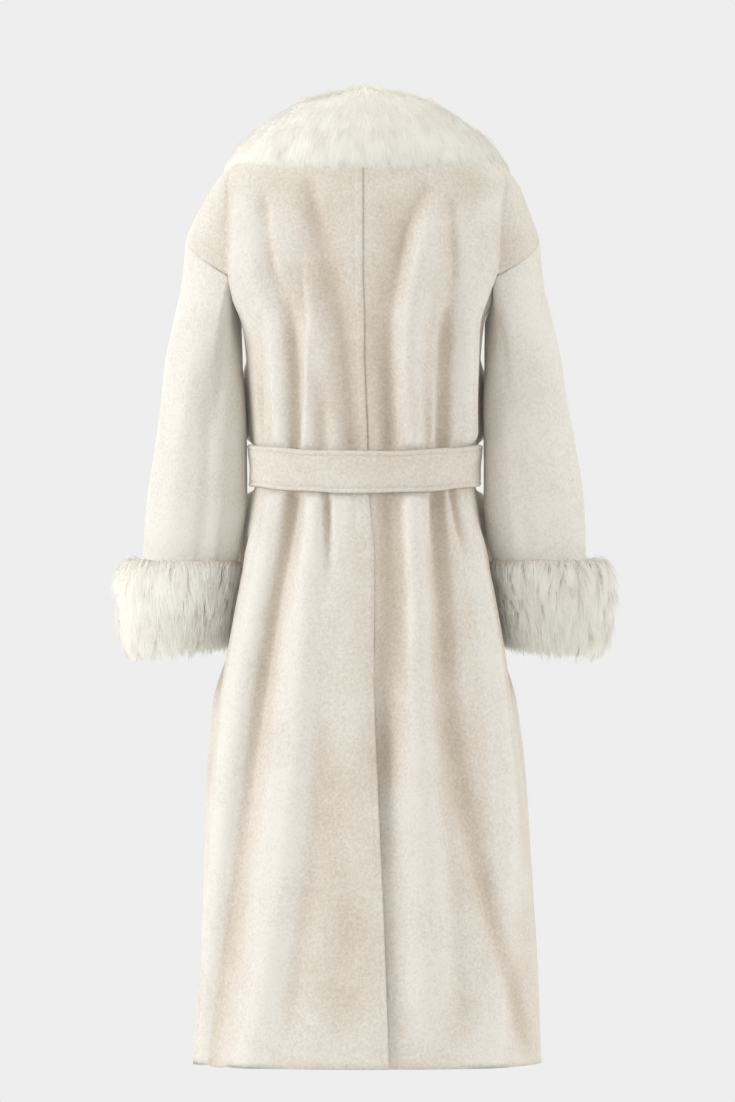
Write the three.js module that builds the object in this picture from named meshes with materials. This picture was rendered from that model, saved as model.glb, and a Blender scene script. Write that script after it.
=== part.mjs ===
// A long belted wool coat with a fur shawl collar and fur cuffs, filled out as if it were worn.
// Millimetres, +Z up. The front faces -Y and the wearer's left is +X.
// The origin is in the middle of the neck opening, level with the nape.
// A bearing is an angle round the body in degrees: 0 at the centre back, 90 at the wearer's left side,
// -90 at the right side and 180 at the centre front.
import * as THREE from "three";

// Driving dimensions
const CLOTH = 2.5; // thickness of the wool
const SEAM_GAP = 0.3; // between two pieces along a seam
const NECK_Z = 8; // neckline
const VENT_TOP_Z = -680;
const VENT_UNDERLAY = 14; // how far the underlay runs behind the left back, in degrees
// Depth of the dip at the vent's top, at its deepest and its share at the hem, and over what lengths it changes
const VENT_DIP = { top: 4, most: 13, hemShare: 0.55, growth: 130, easeZ: -850, lead: 40, width: 7 };
const WRAP_STEP = 3.4; // how far the under front lies behind the upper one
const ARMHOLE = { outerZ: -150, creaseZ: -203, underarmZ: -262 };
const CREASE_BEARING = 66; // where the body turns into the arm, from the centre back or front
const SIDE_POWER = 0.87; // how square a section is from side to side
const BELT = { centreZ: -450.5, sideRise: 9, height: 53, thick: 5, clear: 2.8 };
const BELT_CROWN = 2; // how far the flat band stands off the waist's hollow at its middle
const KNOT = { x: 10, width: 56, height: 62, bulge: 22 };
const TAIL = { width: 50, thick: 4.5, topZ: -482, clear: 11 };
const CUFF = { topZ: -560, bottomZ: -682, clothEndZ: -652 };
const PRESSED = 0.12; // share of the folds that is left under the belt
const FUR_CLEAR = 1.0; // between the fur's backing and the cloth under it

// The body's horizontal sections: half width, middle, depth behind and before it, squareness
const SECTIONS = [
  { z: 8, half: 70, centre: 2, back: 65, front: 42, square: 0.87, seamX: 6 },
  { z: -15, half: 105, centre: 2, back: 82, front: 60, square: 0.87, seamX: 6 },
  { z: -45, half: 150, centre: 2, back: 99, front: 80, square: 0.85, seamX: 6 },
  { z: -80, half: 190, centre: 1, back: 110, front: 97, square: 0.8, seamX: 6 },
  { z: -104, half: 187, centre: 3, back: 115, front: 107, square: 0.77, seamX: 6 },
  { z: -150, half: 183, centre: 6, back: 121, front: 121, square: 0.74, seamX: 6 },
  { z: -193, half: 180, centre: 6, back: 124, front: 130, square: 0.72, seamX: 6 },
  { z: -230, half: 166, centre: 6, back: 123, front: 134, square: 0.74, seamX: 5 },
  { z: -262, half: 153, centre: 5.5, back: 121, front: 134, square: 0.78, seamX: 4 },
  { z: -300, half: 149, centre: 5, back: 117, front: 129, square: 0.82, seamX: 4 },
  { z: -358, half: 145, centre: 4, back: 107, front: 118, square: 0.85, seamX: 2 },
  { z: -409, half: 143, centre: 3, back: 99, front: 107, square: 0.87, seamX: 0 },
  { z: -450, half: 139, centre: 3, back: 96, front: 102, square: 0.87, seamX: 0 },
  { z: -500, half: 145, centre: 3, back: 103, front: 109, square: 0.87, seamX: -4 },
  { z: -560, half: 156, centre: 3, back: 114, front: 119, square: 0.87, seamX: -9 },
  { z: -620, half: 168, centre: 3, back: 124, front: 128, square: 0.87, seamX: -9 },
  { z: -700, half: 181, centre: 3, back: 134, front: 138, square: 0.87, seamX: -8 },
  { z: -850, half: 198, centre: 1, back: 148, front: 150, square: 0.87, seamX: -13 },
  { z: -1000, half: 210, centre: -2, back: 158, front: 159, square: 0.87, seamX: -20 },
  { z: -1198, half: 219, centre: -2.5, back: 168, front: 168, square: 0.87, seamX: -27 },
];

// The coat's outer line from the neck over the dropped shoulder and down the arm
const OUTLINE = [
  { z: 8, half: 70 },
  { z: -15, half: 105 },
  { z: -45, half: 150 },
  { z: -80, half: 190 },
  { z: -104, half: 203 },
  { z: -130, half: 215 },
  { z: -155, half: 224 },
  { z: -206, half: 229 },
  { z: -256, half: 240 },
  { z: -307, half: 251 },
  { z: -358, half: 258 },
  { z: -434, half: 270 },
  { z: -485, half: 277 },
  { z: -536, half: 280 },
  { z: -652, half: 285 },
];

// The sleeve's horizontal sections, from the body's middle: its inner edge, where it is deepest, its depths
const SLEEVE_SECTIONS = [
  { z: -203, inner: 158, crown: 170, back: 61, front: 63 },
  { z: -262, inner: 158, crown: 186, back: 63, front: 65 },
  { z: -307, inner: 155, crown: 197, back: 60, front: 62 },
  { z: -358, inner: 151, crown: 203, back: 56, front: 58 },
  { z: -434, inner: 150, crown: 208, back: 51, front: 53 },
  { z: -485, inner: 151, crown: 213, back: 48, front: 50 },
  { z: -536, inner: 158, crown: 219, back: 46, front: 48 },
  { z: -580, inner: 166, crown: 224, back: 45, front: 47 },
  { z: -652, inner: 172, crown: 229, back: 45, front: 47 },
];

// Folds of the back. Each runs from its top to its bottom through three bearings and rises from the section,
// or sinks where the rise is negative; near and far are its widths in degrees towards the centre back and
// away from it, so a small width is a sharp side.
const BACK_FOLDS = [
  { top: -110, bottom: -440, at: [40, 46, 46], rise: 6, near: 8, far: 7, fadeTop: 90, fadeBottom: 10 },
  { top: -200, bottom: -440, at: [26, 26, 28], rise: 6, near: 8, far: 3.5, fadeTop: 100, fadeBottom: 10 },
  { top: -200, bottom: -440, at: [35, 33, 36.5], rise: -5, near: 4, far: 4, fadeTop: 90, fadeBottom: 10 },
  { top: -300, bottom: -440, at: [18, 18.5, 18.5], rise: -4, near: 4, far: 4, fadeTop: 80, fadeBottom: 10 },
  { top: -85, bottom: -440, at: [17, 9, 4], rise: -5, near: 6, far: 6, fadeTop: 70, fadeBottom: 10 },
  { top: -260, bottom: -440, at: [-11, -10, -9], rise: -4, near: 4, far: 4, fadeTop: 80, fadeBottom: 10 },
  { top: -85, bottom: -440, at: [-24, -19, -22], rise: 7, near: 4, far: 8, fadeTop: 80, fadeBottom: 10 },
  { top: -200, bottom: -440, at: [-41, -41, -39], rise: -6, near: 4, far: 7, fadeTop: 90, fadeBottom: 10 },
  { top: -85, bottom: -440, at: [-30, -50, -55], rise: 5, near: 7, far: 7, fadeTop: 70, fadeBottom: 10 },
  { top: -85, bottom: -300, at: [58, 60, 84], rise: 11, near: 14, far: 5, fadeTop: 60, fadeBottom: 80 },
  { top: -85, bottom: -440, at: [-60, -61, -66], rise: 11, near: 12, far: 5, fadeTop: 60, fadeBottom: 20 },
  { top: -462, bottom: -1198, at: [53, 57, 74], rise: 10, near: 12, far: 9, fadeTop: 20, fadeBottom: 0 },
  { top: -462, bottom: -1198, at: [36, 46, 65], rise: -9, near: 8, far: 5, fadeTop: 20, fadeBottom: 0 },
  { top: -462, bottom: -1198, at: [24, 24, 41], rise: 9, near: 8, far: 9, fadeTop: 20, fadeBottom: 0 },
  { top: -462, bottom: -620, at: [17, 15, 11], rise: -5, near: 3, far: 3, fadeTop: 8, fadeBottom: 110 },
  { top: -462, bottom: -1198, at: [8, 7, 16], rise: 3, near: 7, far: 7, fadeTop: 20, fadeBottom: 200 },
  { top: -600, bottom: -1198, at: [12, 9, 4], rise: -4, near: 6, far: 7, fadeTop: 200, fadeBottom: 100 },
  { top: -462, bottom: -900, at: [-9, -8, -4], rise: -6, near: 6, far: 5, fadeTop: 10, fadeBottom: 100 },
  { top: -462, bottom: -1198, at: [-22, -17, -16], rise: 8, near: 5, far: 9, fadeTop: 12, fadeBottom: 100 },
  { top: -462, bottom: -1198, at: [-37, -32, -66], rise: -8, near: 5, far: 7, fadeTop: 15, fadeBottom: 60 },
  { top: -462, bottom: -560, at: [-48, -49, -50], rise: -4, near: 3, far: 3, fadeTop: 8, fadeBottom: 60 },
  { top: -462, bottom: -1198, at: [-56, -58, -40], rise: 6, near: 9, far: 9, fadeTop: 40, fadeBottom: 0 },
  { top: -500, bottom: -1000, at: [70, 69, 70], rise: 7, near: 10, far: 5, fadeTop: 60, fadeBottom: 250 },
  { top: -500, bottom: -1000, at: [-74, -68, -62], rise: 7, near: 10, far: 5, fadeTop: 60, fadeBottom: 250 },
];

// Folds of the front, which the photograph hides, and the hollow beside each cuff
const FRONT_FOLDS = [
  { top: -270, bottom: -440, at: [122, 124, 128], rise: 6, near: 8, far: 8, fadeTop: 100, fadeBottom: 10 },
  { top: -300, bottom: -440, at: [138, 139, 140], rise: -4, near: 4, far: 6, fadeTop: 80, fadeBottom: 10 },
  { top: -330, bottom: -440, at: [150, 151, 152], rise: 4, near: 5, far: 5, fadeTop: 60, fadeBottom: 10 },
  { top: -270, bottom: -440, at: [-119, -121, -125], rise: 6, near: 8, far: 6, fadeTop: 100, fadeBottom: 10 },
  { top: -300, bottom: -440, at: [-134, -136, -138], rise: -5, near: 4, far: 5, fadeTop: 80, fadeBottom: 10 },
  { top: -340, bottom: -440, at: [-149, -149, -150], rise: 4, near: 5, far: 5, fadeTop: 60, fadeBottom: 10 },
  { top: -520, bottom: -760, at: [90, 90, 90], rise: -15, near: 15, far: 12, fadeTop: 60, fadeBottom: 110 },
  { top: -520, bottom: -760, at: [-90, -90, -90], rise: -15, near: 13, far: 12, fadeTop: 60, fadeBottom: 110 },
  { top: -640, bottom: -1198, at: [108, 106, 104], rise: 13, near: 8, far: 11, fadeTop: 100, fadeBottom: 450 },
  { top: -640, bottom: -1198, at: [-108, -106, -104], rise: 12, near: 8, far: 11, fadeTop: 100, fadeBottom: 450 },
  { top: -462, bottom: -1198, at: [124, 127, 132], rise: -7, near: 6, far: 7, fadeTop: 20, fadeBottom: 0 },
  { top: -462, bottom: -1198, at: [-126, -128, -124], rise: -7, near: 6, far: 7, fadeTop: 20, fadeBottom: 0 },
  { top: -462, bottom: -1198, at: [139, 143, 148], rise: 8, near: 7, far: 9, fadeTop: 20, fadeBottom: 0 },
  { top: -462, bottom: -1198, at: [-141, -142, -139], rise: 7, near: 7, far: 8, fadeTop: 20, fadeBottom: 0 },
  { top: -462, bottom: -800, at: [154, 153, 156], rise: -4, near: 5, far: 5, fadeTop: 12, fadeBottom: 200 },
  { top: -462, bottom: -900, at: [-155, -156, -154], rise: -4, near: 5, far: 5, fadeTop: 12, fadeBottom: 200 },
];

// The free edge of each front, up the wrap and along the line where the collar rolls
const FRONT_EDGES = [
  { z: 8, right: -58, left: 60 },
  { z: -60, right: -54, left: 56 },
  { z: -424, right: 30, left: -26 },
  { z: -1198, right: 50, left: -44 },
];

// The collar's outer edge on each front, from the shoulder to its lower end
const LAPEL_EDGE = [
  { z: -90, half: 169 },
  { z: -130, half: 160 },
  { z: -200, half: 146 },
  { z: -280, half: 124 },
  { z: -350, half: 96 },
  { z: -396, half: 68 },
  { z: -410, half: 52 },
];
const COLLAR_INNER_END_Z = -398;
const COLLAR_OUTER_Z = { shoulder: -56, chest: -84 };
const YOKE_STEPS = { back: 9, front: 4, lapel: 15 }; // stations of the collar on one side

// Round the fur collar's section: across is from the roll to the outer edge, in and out are millimetres
// past the roll and off the cloth, and stand is the share of the height that it stands at the nape.
const COLLAR_SECTION = [
  { across: 0, inward: 2.5, stand: 0, out: -2.5 },
  { across: 0, inward: 0.8, stand: 0, out: 1 },
  { across: 0.2, inward: 0, stand: 0, out: 1.2 },
  { across: 0.4, inward: 0, stand: 0, out: 1.2 },
  { across: 0.6, inward: 0, stand: 0, out: 1.2 },
  { across: 0.8, inward: 0, stand: 0, out: 1.2 },
  { across: 1, inward: 0, stand: 0, out: 1 },
  { across: 1, inward: -8, stand: 0, out: 3 },
  { across: 1, inward: -5, stand: 0, out: 11 },
  { across: 0.85, inward: 0, stand: 0, out: 21 },
  { across: 0.6, inward: 0, stand: 0, out: 28 },
  { across: 0.3, inward: 0, stand: 0, out: 31 },
  { across: 0.06, inward: 0, stand: 0.55, out: 28 },
  { across: 0, inward: 0, stand: 0.95, out: 18 },
  { across: 0, inward: 0, stand: 0.9, out: 4 },
  { across: 0, inward: 4, stand: 0.45, out: -6 },
];
const COLLAR_STAND = { nape: 30, lapel: 9 };
// The collar's underside: its share of the section's clearance at the nape, over the front shoulder and down
// the lapel, and the lowest that it comes to the cloth at the nape and where the front begins
const COLLAR_CLEAR = { nape: 1, shoulder: 5, lapelTop: 5.4, lapelEnd: 2.3 };
const COLLAR_LOWEST = { nape: -6, shoulder: 3 };
const LAPEL_THINNING = 0.25; // share of the pile's height that is lost at the collar's lower end
const SHOULDER_NORMAL = { across: 0.55, up: 0.835 };

// The fur cuff's profile, from its top edge: height, and how much of the pile it reaches
const CUFF_PROFILE = [
  { z: -560, pile: 0.12 },
  { z: -566, pile: 0.5 },
  { z: -582, pile: 0.84 },
  { z: -604, pile: 1 },
  { z: -630, pile: 1 },
  { z: -654, pile: 0.9 },
  { z: -674, pile: 0.62 },
  { z: -682, pile: 0.3 },
];
const CUFF_PILE = { outer: 38, inner: 3, back: 24, front: 22 };

// Heights of the rows of each cloth piece, and how many columns cross it
const ROW_Z = [
  8, -12, -35, -60, -85, -110, -130, -150, -168, -186, -203, -232, -262, -295, -335, -375, -402, -416,
  -436, -463, -484, -500, -530, -575, -625, -680, -750, -840, -950, -1070, -1198,
];
const BACK_COLUMNS = 20;
const FRONT_COLUMNS = 17;
const ARM_COLUMNS = 4;
const UNDERLAY_COLUMNS = 4;
const SLEEVE_COLUMNS = 20;
const SLEEVE_ROWS = 10;
const CUFF_COLUMNS = 26;

const COLOURS = { wool: 0xe9e3d6, fur: 0xf1efe6 };

const RAD = Math.PI / 180;
const clamp01 = (t) => Math.min(1, Math.max(0, t));
const mix = (a, b, t) => a + (b - a) * t;
const ease = (t) => clamp01(t) ** 2 * (3 - 2 * clamp01(t));
const signedPower = (v, power) => Math.sign(v) * Math.abs(v) ** power;
const wrapped = (angle) => ((((angle + 180) % 360) + 360) % 360) - 180;

// One named column of a table as a smooth function of height, with no overshoot between its rows
function column(rows, name) {
  const z = rows.map((row) => row.z);
  const v = rows.map((row) => row[name]);
  const slope = v.slice(1).map((value, i) => (value - v[i]) / (z[i + 1] - z[i]));
  const tangent = v.map((_, i) => {
    const before = slope[Math.max(i - 1, 0)];
    const after = slope[Math.min(i, slope.length - 1)];
    return before * after <= 0 ? 0 : (2 * before * after) / (before + after);
  });
  return (height) => {
    let i = 0;
    while (i < slope.length - 1 && height < z[i + 1]) i += 1;
    const span = z[i + 1] - z[i];
    const t = clamp01((height - z[i]) / span);
    return (
      v[i] * (1 + 2 * t) * (1 - t) ** 2 +
      v[i + 1] * t * t * (3 - 2 * t) +
      tangent[i] * span * t * (1 - t) ** 2 -
      tangent[i + 1] * span * t * t * (1 - t)
    );
  };
}

const body = Object.fromEntries(
  ["half", "centre", "back", "front", "square", "seamX"].map((name) => [name, column(SECTIONS, name)]),
);
const outline = column(OUTLINE, "half");
const sleeve = Object.fromEntries(
  ["inner", "crown", "back", "front"].map((name) => [name, column(SLEEVE_SECTIONS, name)]),
);
const frontEdge = { right: column(FRONT_EDGES, "right"), left: column(FRONT_EDGES, "left") };
const lapelEdge = column(LAPEL_EDGE, "half");

// The smooth section without folds
function ringPoint(bearing, z) {
  const across = Math.sin(bearing * RAD);
  const along = Math.cos(bearing * RAD);
  const depth = along > 0 ? body.back(z) : body.front(z);
  return new THREE.Vector3(
    body.centre(z) + body.half(z) * signedPower(across, SIDE_POWER),
    depth * signedPower(along, body.square(z)),
    z,
  );
}

// The outward normal of any surface given by two parameters, by small steps to both sides
function normalOf(surface, u, v, stepU, stepV) {
  const alongU = surface(u + stepU, v).sub(surface(u - stepU, v));
  const alongV = surface(u, v + stepV).sub(surface(u, v - stepV));
  return alongV.cross(alongU).normalize();
}

function ringNormal(bearing, z) {
  const step = 0.6;
  const along = ringPoint(bearing + step, z).sub(ringPoint(bearing - step, z));
  return new THREE.Vector3(along.y, -along.x, 0).normalize().negate();
}

// The bearing of a point of the section by its place from side to side, on the back or on the front
function bearingOf(x, z, isBack) {
  const share = (x - body.centre(z)) / body.half(z);
  const angle = Math.asin(Math.min(1, Math.abs(share)) ** (1 / SIDE_POWER)) / RAD;
  const side = Math.sign(share) || 1;
  return isBack ? side * angle : side * (180 - angle);
}

// The height of the belt's middle line, higher at the sides
function beltMiddle(bearing) {
  return BELT.centreZ + BELT.sideRise * Math.sin(bearing * RAD) ** 2;
}

// How far the cloth stands off the smooth section, nearly nothing where the belt presses on it
function relief(bearing, z) {
  const pastBelt = Math.abs(z - beltMiddle(bearing)) - BELT.height / 2;
  const freedom = mix(PRESSED, 1, ease((pastBelt - 2) / 14));
  let sum = 0;
  for (const fold of [...BACK_FOLDS, ...FRONT_FOLDS]) {
    if (z > fold.top + 1 || z < fold.bottom - 1) continue;
    const t = clamp01((fold.top - z) / (fold.top - fold.bottom));
    const [start, middle, end] = fold.at;
    const at = start * (1 - t) * (1 - 2 * t) + 4 * middle * t * (1 - t) + end * t * (2 * t - 1);
    const away = wrapped(bearing - at) * Math.sign(at || 1);
    const width = away < 0 ? fold.near : fold.far;
    const fadeIn = ease((fold.top - z) / Math.max(fold.fadeTop, 1));
    const fadeOut = ease((z - fold.bottom) / Math.max(fold.fadeBottom, 1) + (fold.fadeBottom ? 0 : 1));
    sum += fold.rise * Math.exp(-((away / width) ** 2)) * fadeIn * fadeOut;
  }
  return sum * freedom;
}

function bodyPoint(bearing, z) {
  return ringPoint(bearing, z).addScaledVector(ringNormal(bearing, z), relief(bearing, z));
}

// Where a cloth piece ends towards the arm: at the crease of the arm, then down the armhole to the side seam
function armBearing(z) {
  const t = (ARMHOLE.creaseZ - z) / (ARMHOLE.creaseZ - ARMHOLE.underarmZ);
  return mix(CREASE_BEARING, 90, ease(t));
}

// A point of the body's cloth. Across runs from 0 at the given bearing to 1 at the crease or side seam, and
// on to 2 over the arm at the outline. Side is 1 on the left and -1 on the right.
function clothPoint(side, isBack, start, across, z) {
  const last = side * (isBack ? armBearing(z) : 180 - armBearing(z));
  if (across <= 1 || z < ARMHOLE.creaseZ - 2) return bodyPoint(mix(start, last, across), z);
  const crease = bodyPoint(last, z);
  const outerX = body.centre(z) + side * outline(z);
  const turn = (across - 1) * 90 * RAD;
  return new THREE.Vector3(mix(crease.x, outerX, Math.sin(turn)), crease.y * Math.cos(turn), z);
}

// The cloth over the chest or the back at a place in the front view, the arm included
function clothAt(x, z, isBack) {
  const side = Math.sign(x - body.centre(z)) || 1;
  const last = side * (isBack ? armBearing(z) : 180 - armBearing(z));
  const crease = bodyPoint(last, z);
  if (side * (x - crease.x) <= 0) return bodyPoint(bearingOf(x, z, isBack), z);
  const outerX = body.centre(z) + side * outline(z);
  const share = clamp01((x - crease.x) / (outerX - crease.x));
  return new THREE.Vector3(mix(crease.x, outerX, share), crease.y * Math.sqrt(1 - share * share), z);
}

// A wall between an outer and an inner sheet of the same grid. Points that fall together are one vertex,
// quads are skipped where a corner is missing, and the open border is closed by a rim.
function wall(name, slot, outer, inner) {
  const positions = [];
  const known = new Map();
  const vertexOf = (point, layer) => {
    const key = layer + point.toArray().map((v) => v.toFixed(3)).join();
    if (!known.has(key)) {
      known.set(key, positions.length / 3);
      positions.push(...point.toArray());
    }
    return known.get(key);
  };
  const triangles = [];
  const addTriangle = (a, b, c) => {
    if (a !== b && b !== c && c !== a) triangles.push([a, b, c]);
  };
  const partner = new Map();
  for (let i = 0; i + 1 < outer.length; i += 1) {
    for (let j = 0; j + 1 < outer[i].length; j += 1) {
      const corners = [[i, j], [i, j + 1], [i + 1, j + 1], [i + 1, j]];
      if (corners.some(([r, c]) => !outer[r] || !outer[r][c])) continue;
      const [a, b, c, d] = corners.map(([row, col]) => {
        const vertex = vertexOf(outer[row][col], "o");
        partner.set(vertex, vertexOf(inner[row][col], "i"));
        return vertex;
      });
      if ((i + j) % 2) {
        addTriangle(a, b, c);
        addTriangle(a, c, d);
      } else {
        addTriangle(a, b, d);
        addTriangle(b, c, d);
      }
    }
  }
  const border = new Map();
  for (const [a, b, c] of triangles) {
    for (const [from, to] of [[a, b], [b, c], [c, a]]) {
      if (border.has(to + "," + from)) border.delete(to + "," + from);
      else border.set(from + "," + to, [from, to]);
    }
  }
  const faces = [...triangles];
  for (const [a, b, c] of triangles) faces.push([partner.get(a), partner.get(c), partner.get(b)]);
  for (const [from, to] of border.values()) {
    faces.push([to, from, partner.get(from)], [to, partner.get(from), partner.get(to)]);
  }
  return meshOf(name, slot, positions, faces);
}

// A mesh with its faces turned outwards
function meshOf(name, slot, positions, faces) {
  const corner = (index) => new THREE.Vector3().fromArray(positions, index * 3);
  const volume = faces.reduce((sum, [a, b, c]) => sum + corner(a).dot(corner(b).cross(corner(c))), 0);
  const outward = volume > 0 ? faces : faces.map(([a, b, c]) => [a, c, b]);
  const geometry = new THREE.BufferGeometry();
  geometry.setAttribute("position", new THREE.Float32BufferAttribute(positions, 3));
  geometry.setIndex(outward.flat());
  geometry.computeVertexNormals();
  const material = new THREE.MeshStandardMaterial({
    color: COLOURS[slot],
    roughness: slot === "fur" ? 1 : 0.9,
    metalness: 0,
  });
  const mesh = new THREE.Mesh(geometry, material);
  mesh.name = name;
  return mesh;
}

// A closed tube through loops of points, with flat ends unless the loops come round to the first
function loft(name, slot, loops, isRing) {
  const size = loops[0].length;
  const positions = loops.flatMap((loop) => loop.flatMap((point) => point.toArray()));
  const faces = [];
  const count = loops.length;
  for (let i = 0; i < (isRing ? count : count - 1); i += 1) {
    const next = (i + 1) % count;
    for (let j = 0; j < size; j += 1) {
      const right = (j + 1) % size;
      faces.push([i * size + j, next * size + j, next * size + right]);
      faces.push([i * size + j, next * size + right, i * size + right]);
    }
  }
  if (!isRing) {
    const last = (count - 1) * size;
    for (const [offset, loop, flip] of [[0, loops[0], false], [last, loops[count - 1], true]]) {
      const middle = loop.reduce((sum, point) => sum.add(point), new THREE.Vector3()).divideScalar(size);
      const centre = positions.length / 3;
      positions.push(...middle.toArray());
      for (let j = 0; j < size; j += 1) {
        const a = offset + j;
        const b = offset + ((j + 1) % size);
        faces.push(flip ? [a, centre, b] : [a, b, centre]);
      }
    }
  }
  return meshOf(name, slot, positions, faces);
}

// Outer and inner sheets of a cloth piece from its point function, with missing corners kept missing
function clothSheets(columnCount, pointOf, uOf, vOf, side, isBack) {
  const flip = isBack ? side : -side;
  const outer = [];
  const inner = [];
  for (let i = 0; i < ROW_Z.length; i += 1) {
    outer.push([]);
    inner.push([]);
    for (let j = 0; j < columnCount; j += 1) {
      const u = uOf(i, j);
      const v = vOf(i, j, u);
      if (u === null || v === null) {
        outer[i].push(null);
        inner[i].push(null);
        continue;
      }
      const point = pointOf(u, v);
      const normal = normalOf(pointOf, u, v, 0.004, 1.5).multiplyScalar(flip);
      outer[i].push(keepSide(point, isBack));
      inner[i].push(keepSide(point.clone().addScaledVector(normal, -CLOTH), isBack));
    }
  }
  return { outer, inner };
}

// A back piece stays behind the side seam and a front piece before it
function keepSide(point, isBack) {
  const limit = SEAM_GAP / 2;
  point.y = isBack ? Math.max(point.y, limit) : Math.min(point.y, -limit);
  return point;
}

// Height of a row over the arm, where the rows close up towards the armhole's outer end
function armRowZ(z, across) {
  if (z >= ARMHOLE.outerZ) return z;
  return mix(z, ARMHOLE.outerZ, across - 1);
}

// How far the right back dips beside the vent, to pass behind the left back
function ventDip(bearing, seam, z) {
  const opening = ease((VENT_TOP_Z - z) / VENT_DIP.growth);
  const closing = ease((VENT_DIP.easeZ - z) / VENT_DIP.growth);
  const depth = mix(VENT_DIP.top, VENT_DIP.most, opening) * mix(1, VENT_DIP.hemShare, closing);
  const fadeIn = ease((VENT_TOP_Z + VENT_DIP.lead - z) / VENT_DIP.lead);
  const past = seam - bearing;
  return depth * fadeIn * (past > 0 ? Math.exp(-((past / VENT_DIP.width) ** 2)) : 1);
}

function backPanel(side) {
  const isLeft = side > 0;
  const underlaySteps = isLeft ? 0 : UNDERLAY_COLUMNS;
  const pointOf = (across, z) => {
    const seam = bearingOf(body.seamX(z), z, true);
    if (across < 0) {
      const bearing = seam - across * VENT_UNDERLAY;
      const point = bodyPoint(bearing, z);
      return point.addScaledVector(ringNormal(bearing, z), -ventDip(bearing, seam, z));
    }
    const point = clothPoint(side, true, seam, across, z);
    if (!isLeft && across <= 1) {
      const bearing = mix(seam, -armBearing(z), across);
      point.addScaledVector(ringNormal(bearing, z), -ventDip(bearing, seam, z));
    }
    if (across < 0.02) point.x += (side * SEAM_GAP) / 2;
    return point;
  };
  const uOf = (i, j) => {
    const z = ROW_Z[i];
    const step = j - underlaySteps;
    if (step < 0) return z <= VENT_TOP_Z ? step / underlaySteps : null;
    if (step <= BACK_COLUMNS) return step / BACK_COLUMNS;
    return z >= ARMHOLE.creaseZ ? 1 + (step - BACK_COLUMNS) / ARM_COLUMNS : null;
  };
  const vOf = (i, j, u) => (u !== null && u > 1 ? armRowZ(ROW_Z[i], u) : ROW_Z[i]);
  const columns = underlaySteps + BACK_COLUMNS + ARM_COLUMNS + 1;
  const sheets = clothSheets(columns, pointOf, uOf, vOf, side, true);
  return wall(isLeft ? "back_left" : "back_right", "wool", sheets.outer, sheets.inner);
}

// How far the left front lies back where the right front covers it
function wrapStep(x, z) {
  return WRAP_STEP * (1 - ease((x - frontEdge.right(z) - 6) / 26));
}

function frontPanel(side) {
  const isLeft = side > 0;
  const edge = isLeft ? frontEdge.left : frontEdge.right;
  const startOf = (z) => {
    const x = edge(z);
    return bearingOf(x, z, false);
  };
  const pointOf = (across, z) => {
    const last = side * (180 - armBearing(z));
    let start = startOf(z);
    if (side > 0 && start < 0) start += 360;
    if (side < 0 && start > 0) start -= 360;
    start = side > 0 ? Math.max(start, last + 2) : Math.min(start, last - 2);
    const point = clothPoint(side, false, start, across, z);
    if (isLeft && across <= 1) {
      const bearing = mix(start, last, across);
      point.addScaledVector(ringNormal(bearing, z), -wrapStep(point.x, z));
    }
    return point;
  };
  const uOf = (i, j) => {
    if (j <= FRONT_COLUMNS) return j / FRONT_COLUMNS;
    return ROW_Z[i] >= ARMHOLE.creaseZ ? 1 + (j - FRONT_COLUMNS) / ARM_COLUMNS : null;
  };
  const vOf = (i, j, u) => (u !== null && u > 1 ? armRowZ(ROW_Z[i], u) : ROW_Z[i]);
  const columns = FRONT_COLUMNS + ARM_COLUMNS + 1;
  const sheets = clothSheets(columns, pointOf, uOf, vOf, side, false);
  return wall(isLeft ? "front_left" : "front_right", "wool", sheets.outer, sheets.inner);
}

// The armhole, round from the outer end over the back to the underarm and back over the front
function armholePoint(side, angle) {
  const isBack = angle <= 180;
  const turn = isBack ? angle : 360 - angle;
  if (turn <= 90) {
    const across = 2 - turn / 90;
    return clothPoint(side, isBack, 0, across, armRowZ(ARMHOLE.creaseZ, across));
  }
  const z = mix(ARMHOLE.creaseZ, ARMHOLE.underarmZ, (turn - 90) / 90);
  return bodyPoint(side * (isBack ? armBearing(z) : 180 - armBearing(z)), z);
}

function sleeveSection(side, angle, z) {
  const across = Math.cos(angle * RAD);
  const depth = Math.sin(angle * RAD);
  const crown = sleeve.crown(z);
  const reach = across > 0 ? outline(z) - crown : crown - sleeve.inner(z);
  return new THREE.Vector3(
    body.centre(z) + side * (crown + reach * across),
    (depth > 0 ? sleeve.back(z) : sleeve.front(z)) * depth,
    z,
  );
}

function sleevePoint(side, angle, down) {
  const seam = armholePoint(side, angle);
  const turn = angle <= 180 ? angle : 360 - angle;
  const underarm = ease((turn - 40) / 45);
  seam.x += side * underarm * 2.3;
  seam.z -= mix(0.5, 0.2, underarm);
  const z = mix(seam.z, CUFF.clothEndZ, down);
  const correction = seam.sub(sleeveSection(side, angle, seam.z)).multiplyScalar(1 - ease(down / 0.22));
  return sleeveSection(side, angle, z).add(correction);
}

function sleeveTube(side) {
  const pointOf = (turn, down) => sleevePoint(side, ((turn % 1) + 1) % 1 * 360, clamp01(down));
  const outer = [];
  const inner = [];
  for (let i = 0; i <= SLEEVE_ROWS; i += 1) {
    outer.push([]);
    inner.push([]);
    for (let j = 0; j <= SLEEVE_COLUMNS; j += 1) {
      const turn = (j % SLEEVE_COLUMNS) / SLEEVE_COLUMNS;
      const down = (i / SLEEVE_ROWS) ** 1.15;
      const point = pointOf(turn, down);
      const away = normalOf(pointOf, turn, Math.max(down, 0.012), 0.01, 0.01).multiplyScalar(side);
      outer[i].push(point);
      inner[i].push(point.clone().addScaledVector(away, -CLOTH));
    }
  }
  return wall(side > 0 ? "sleeve_left" : "sleeve_right", "wool", outer, inner);
}

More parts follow.
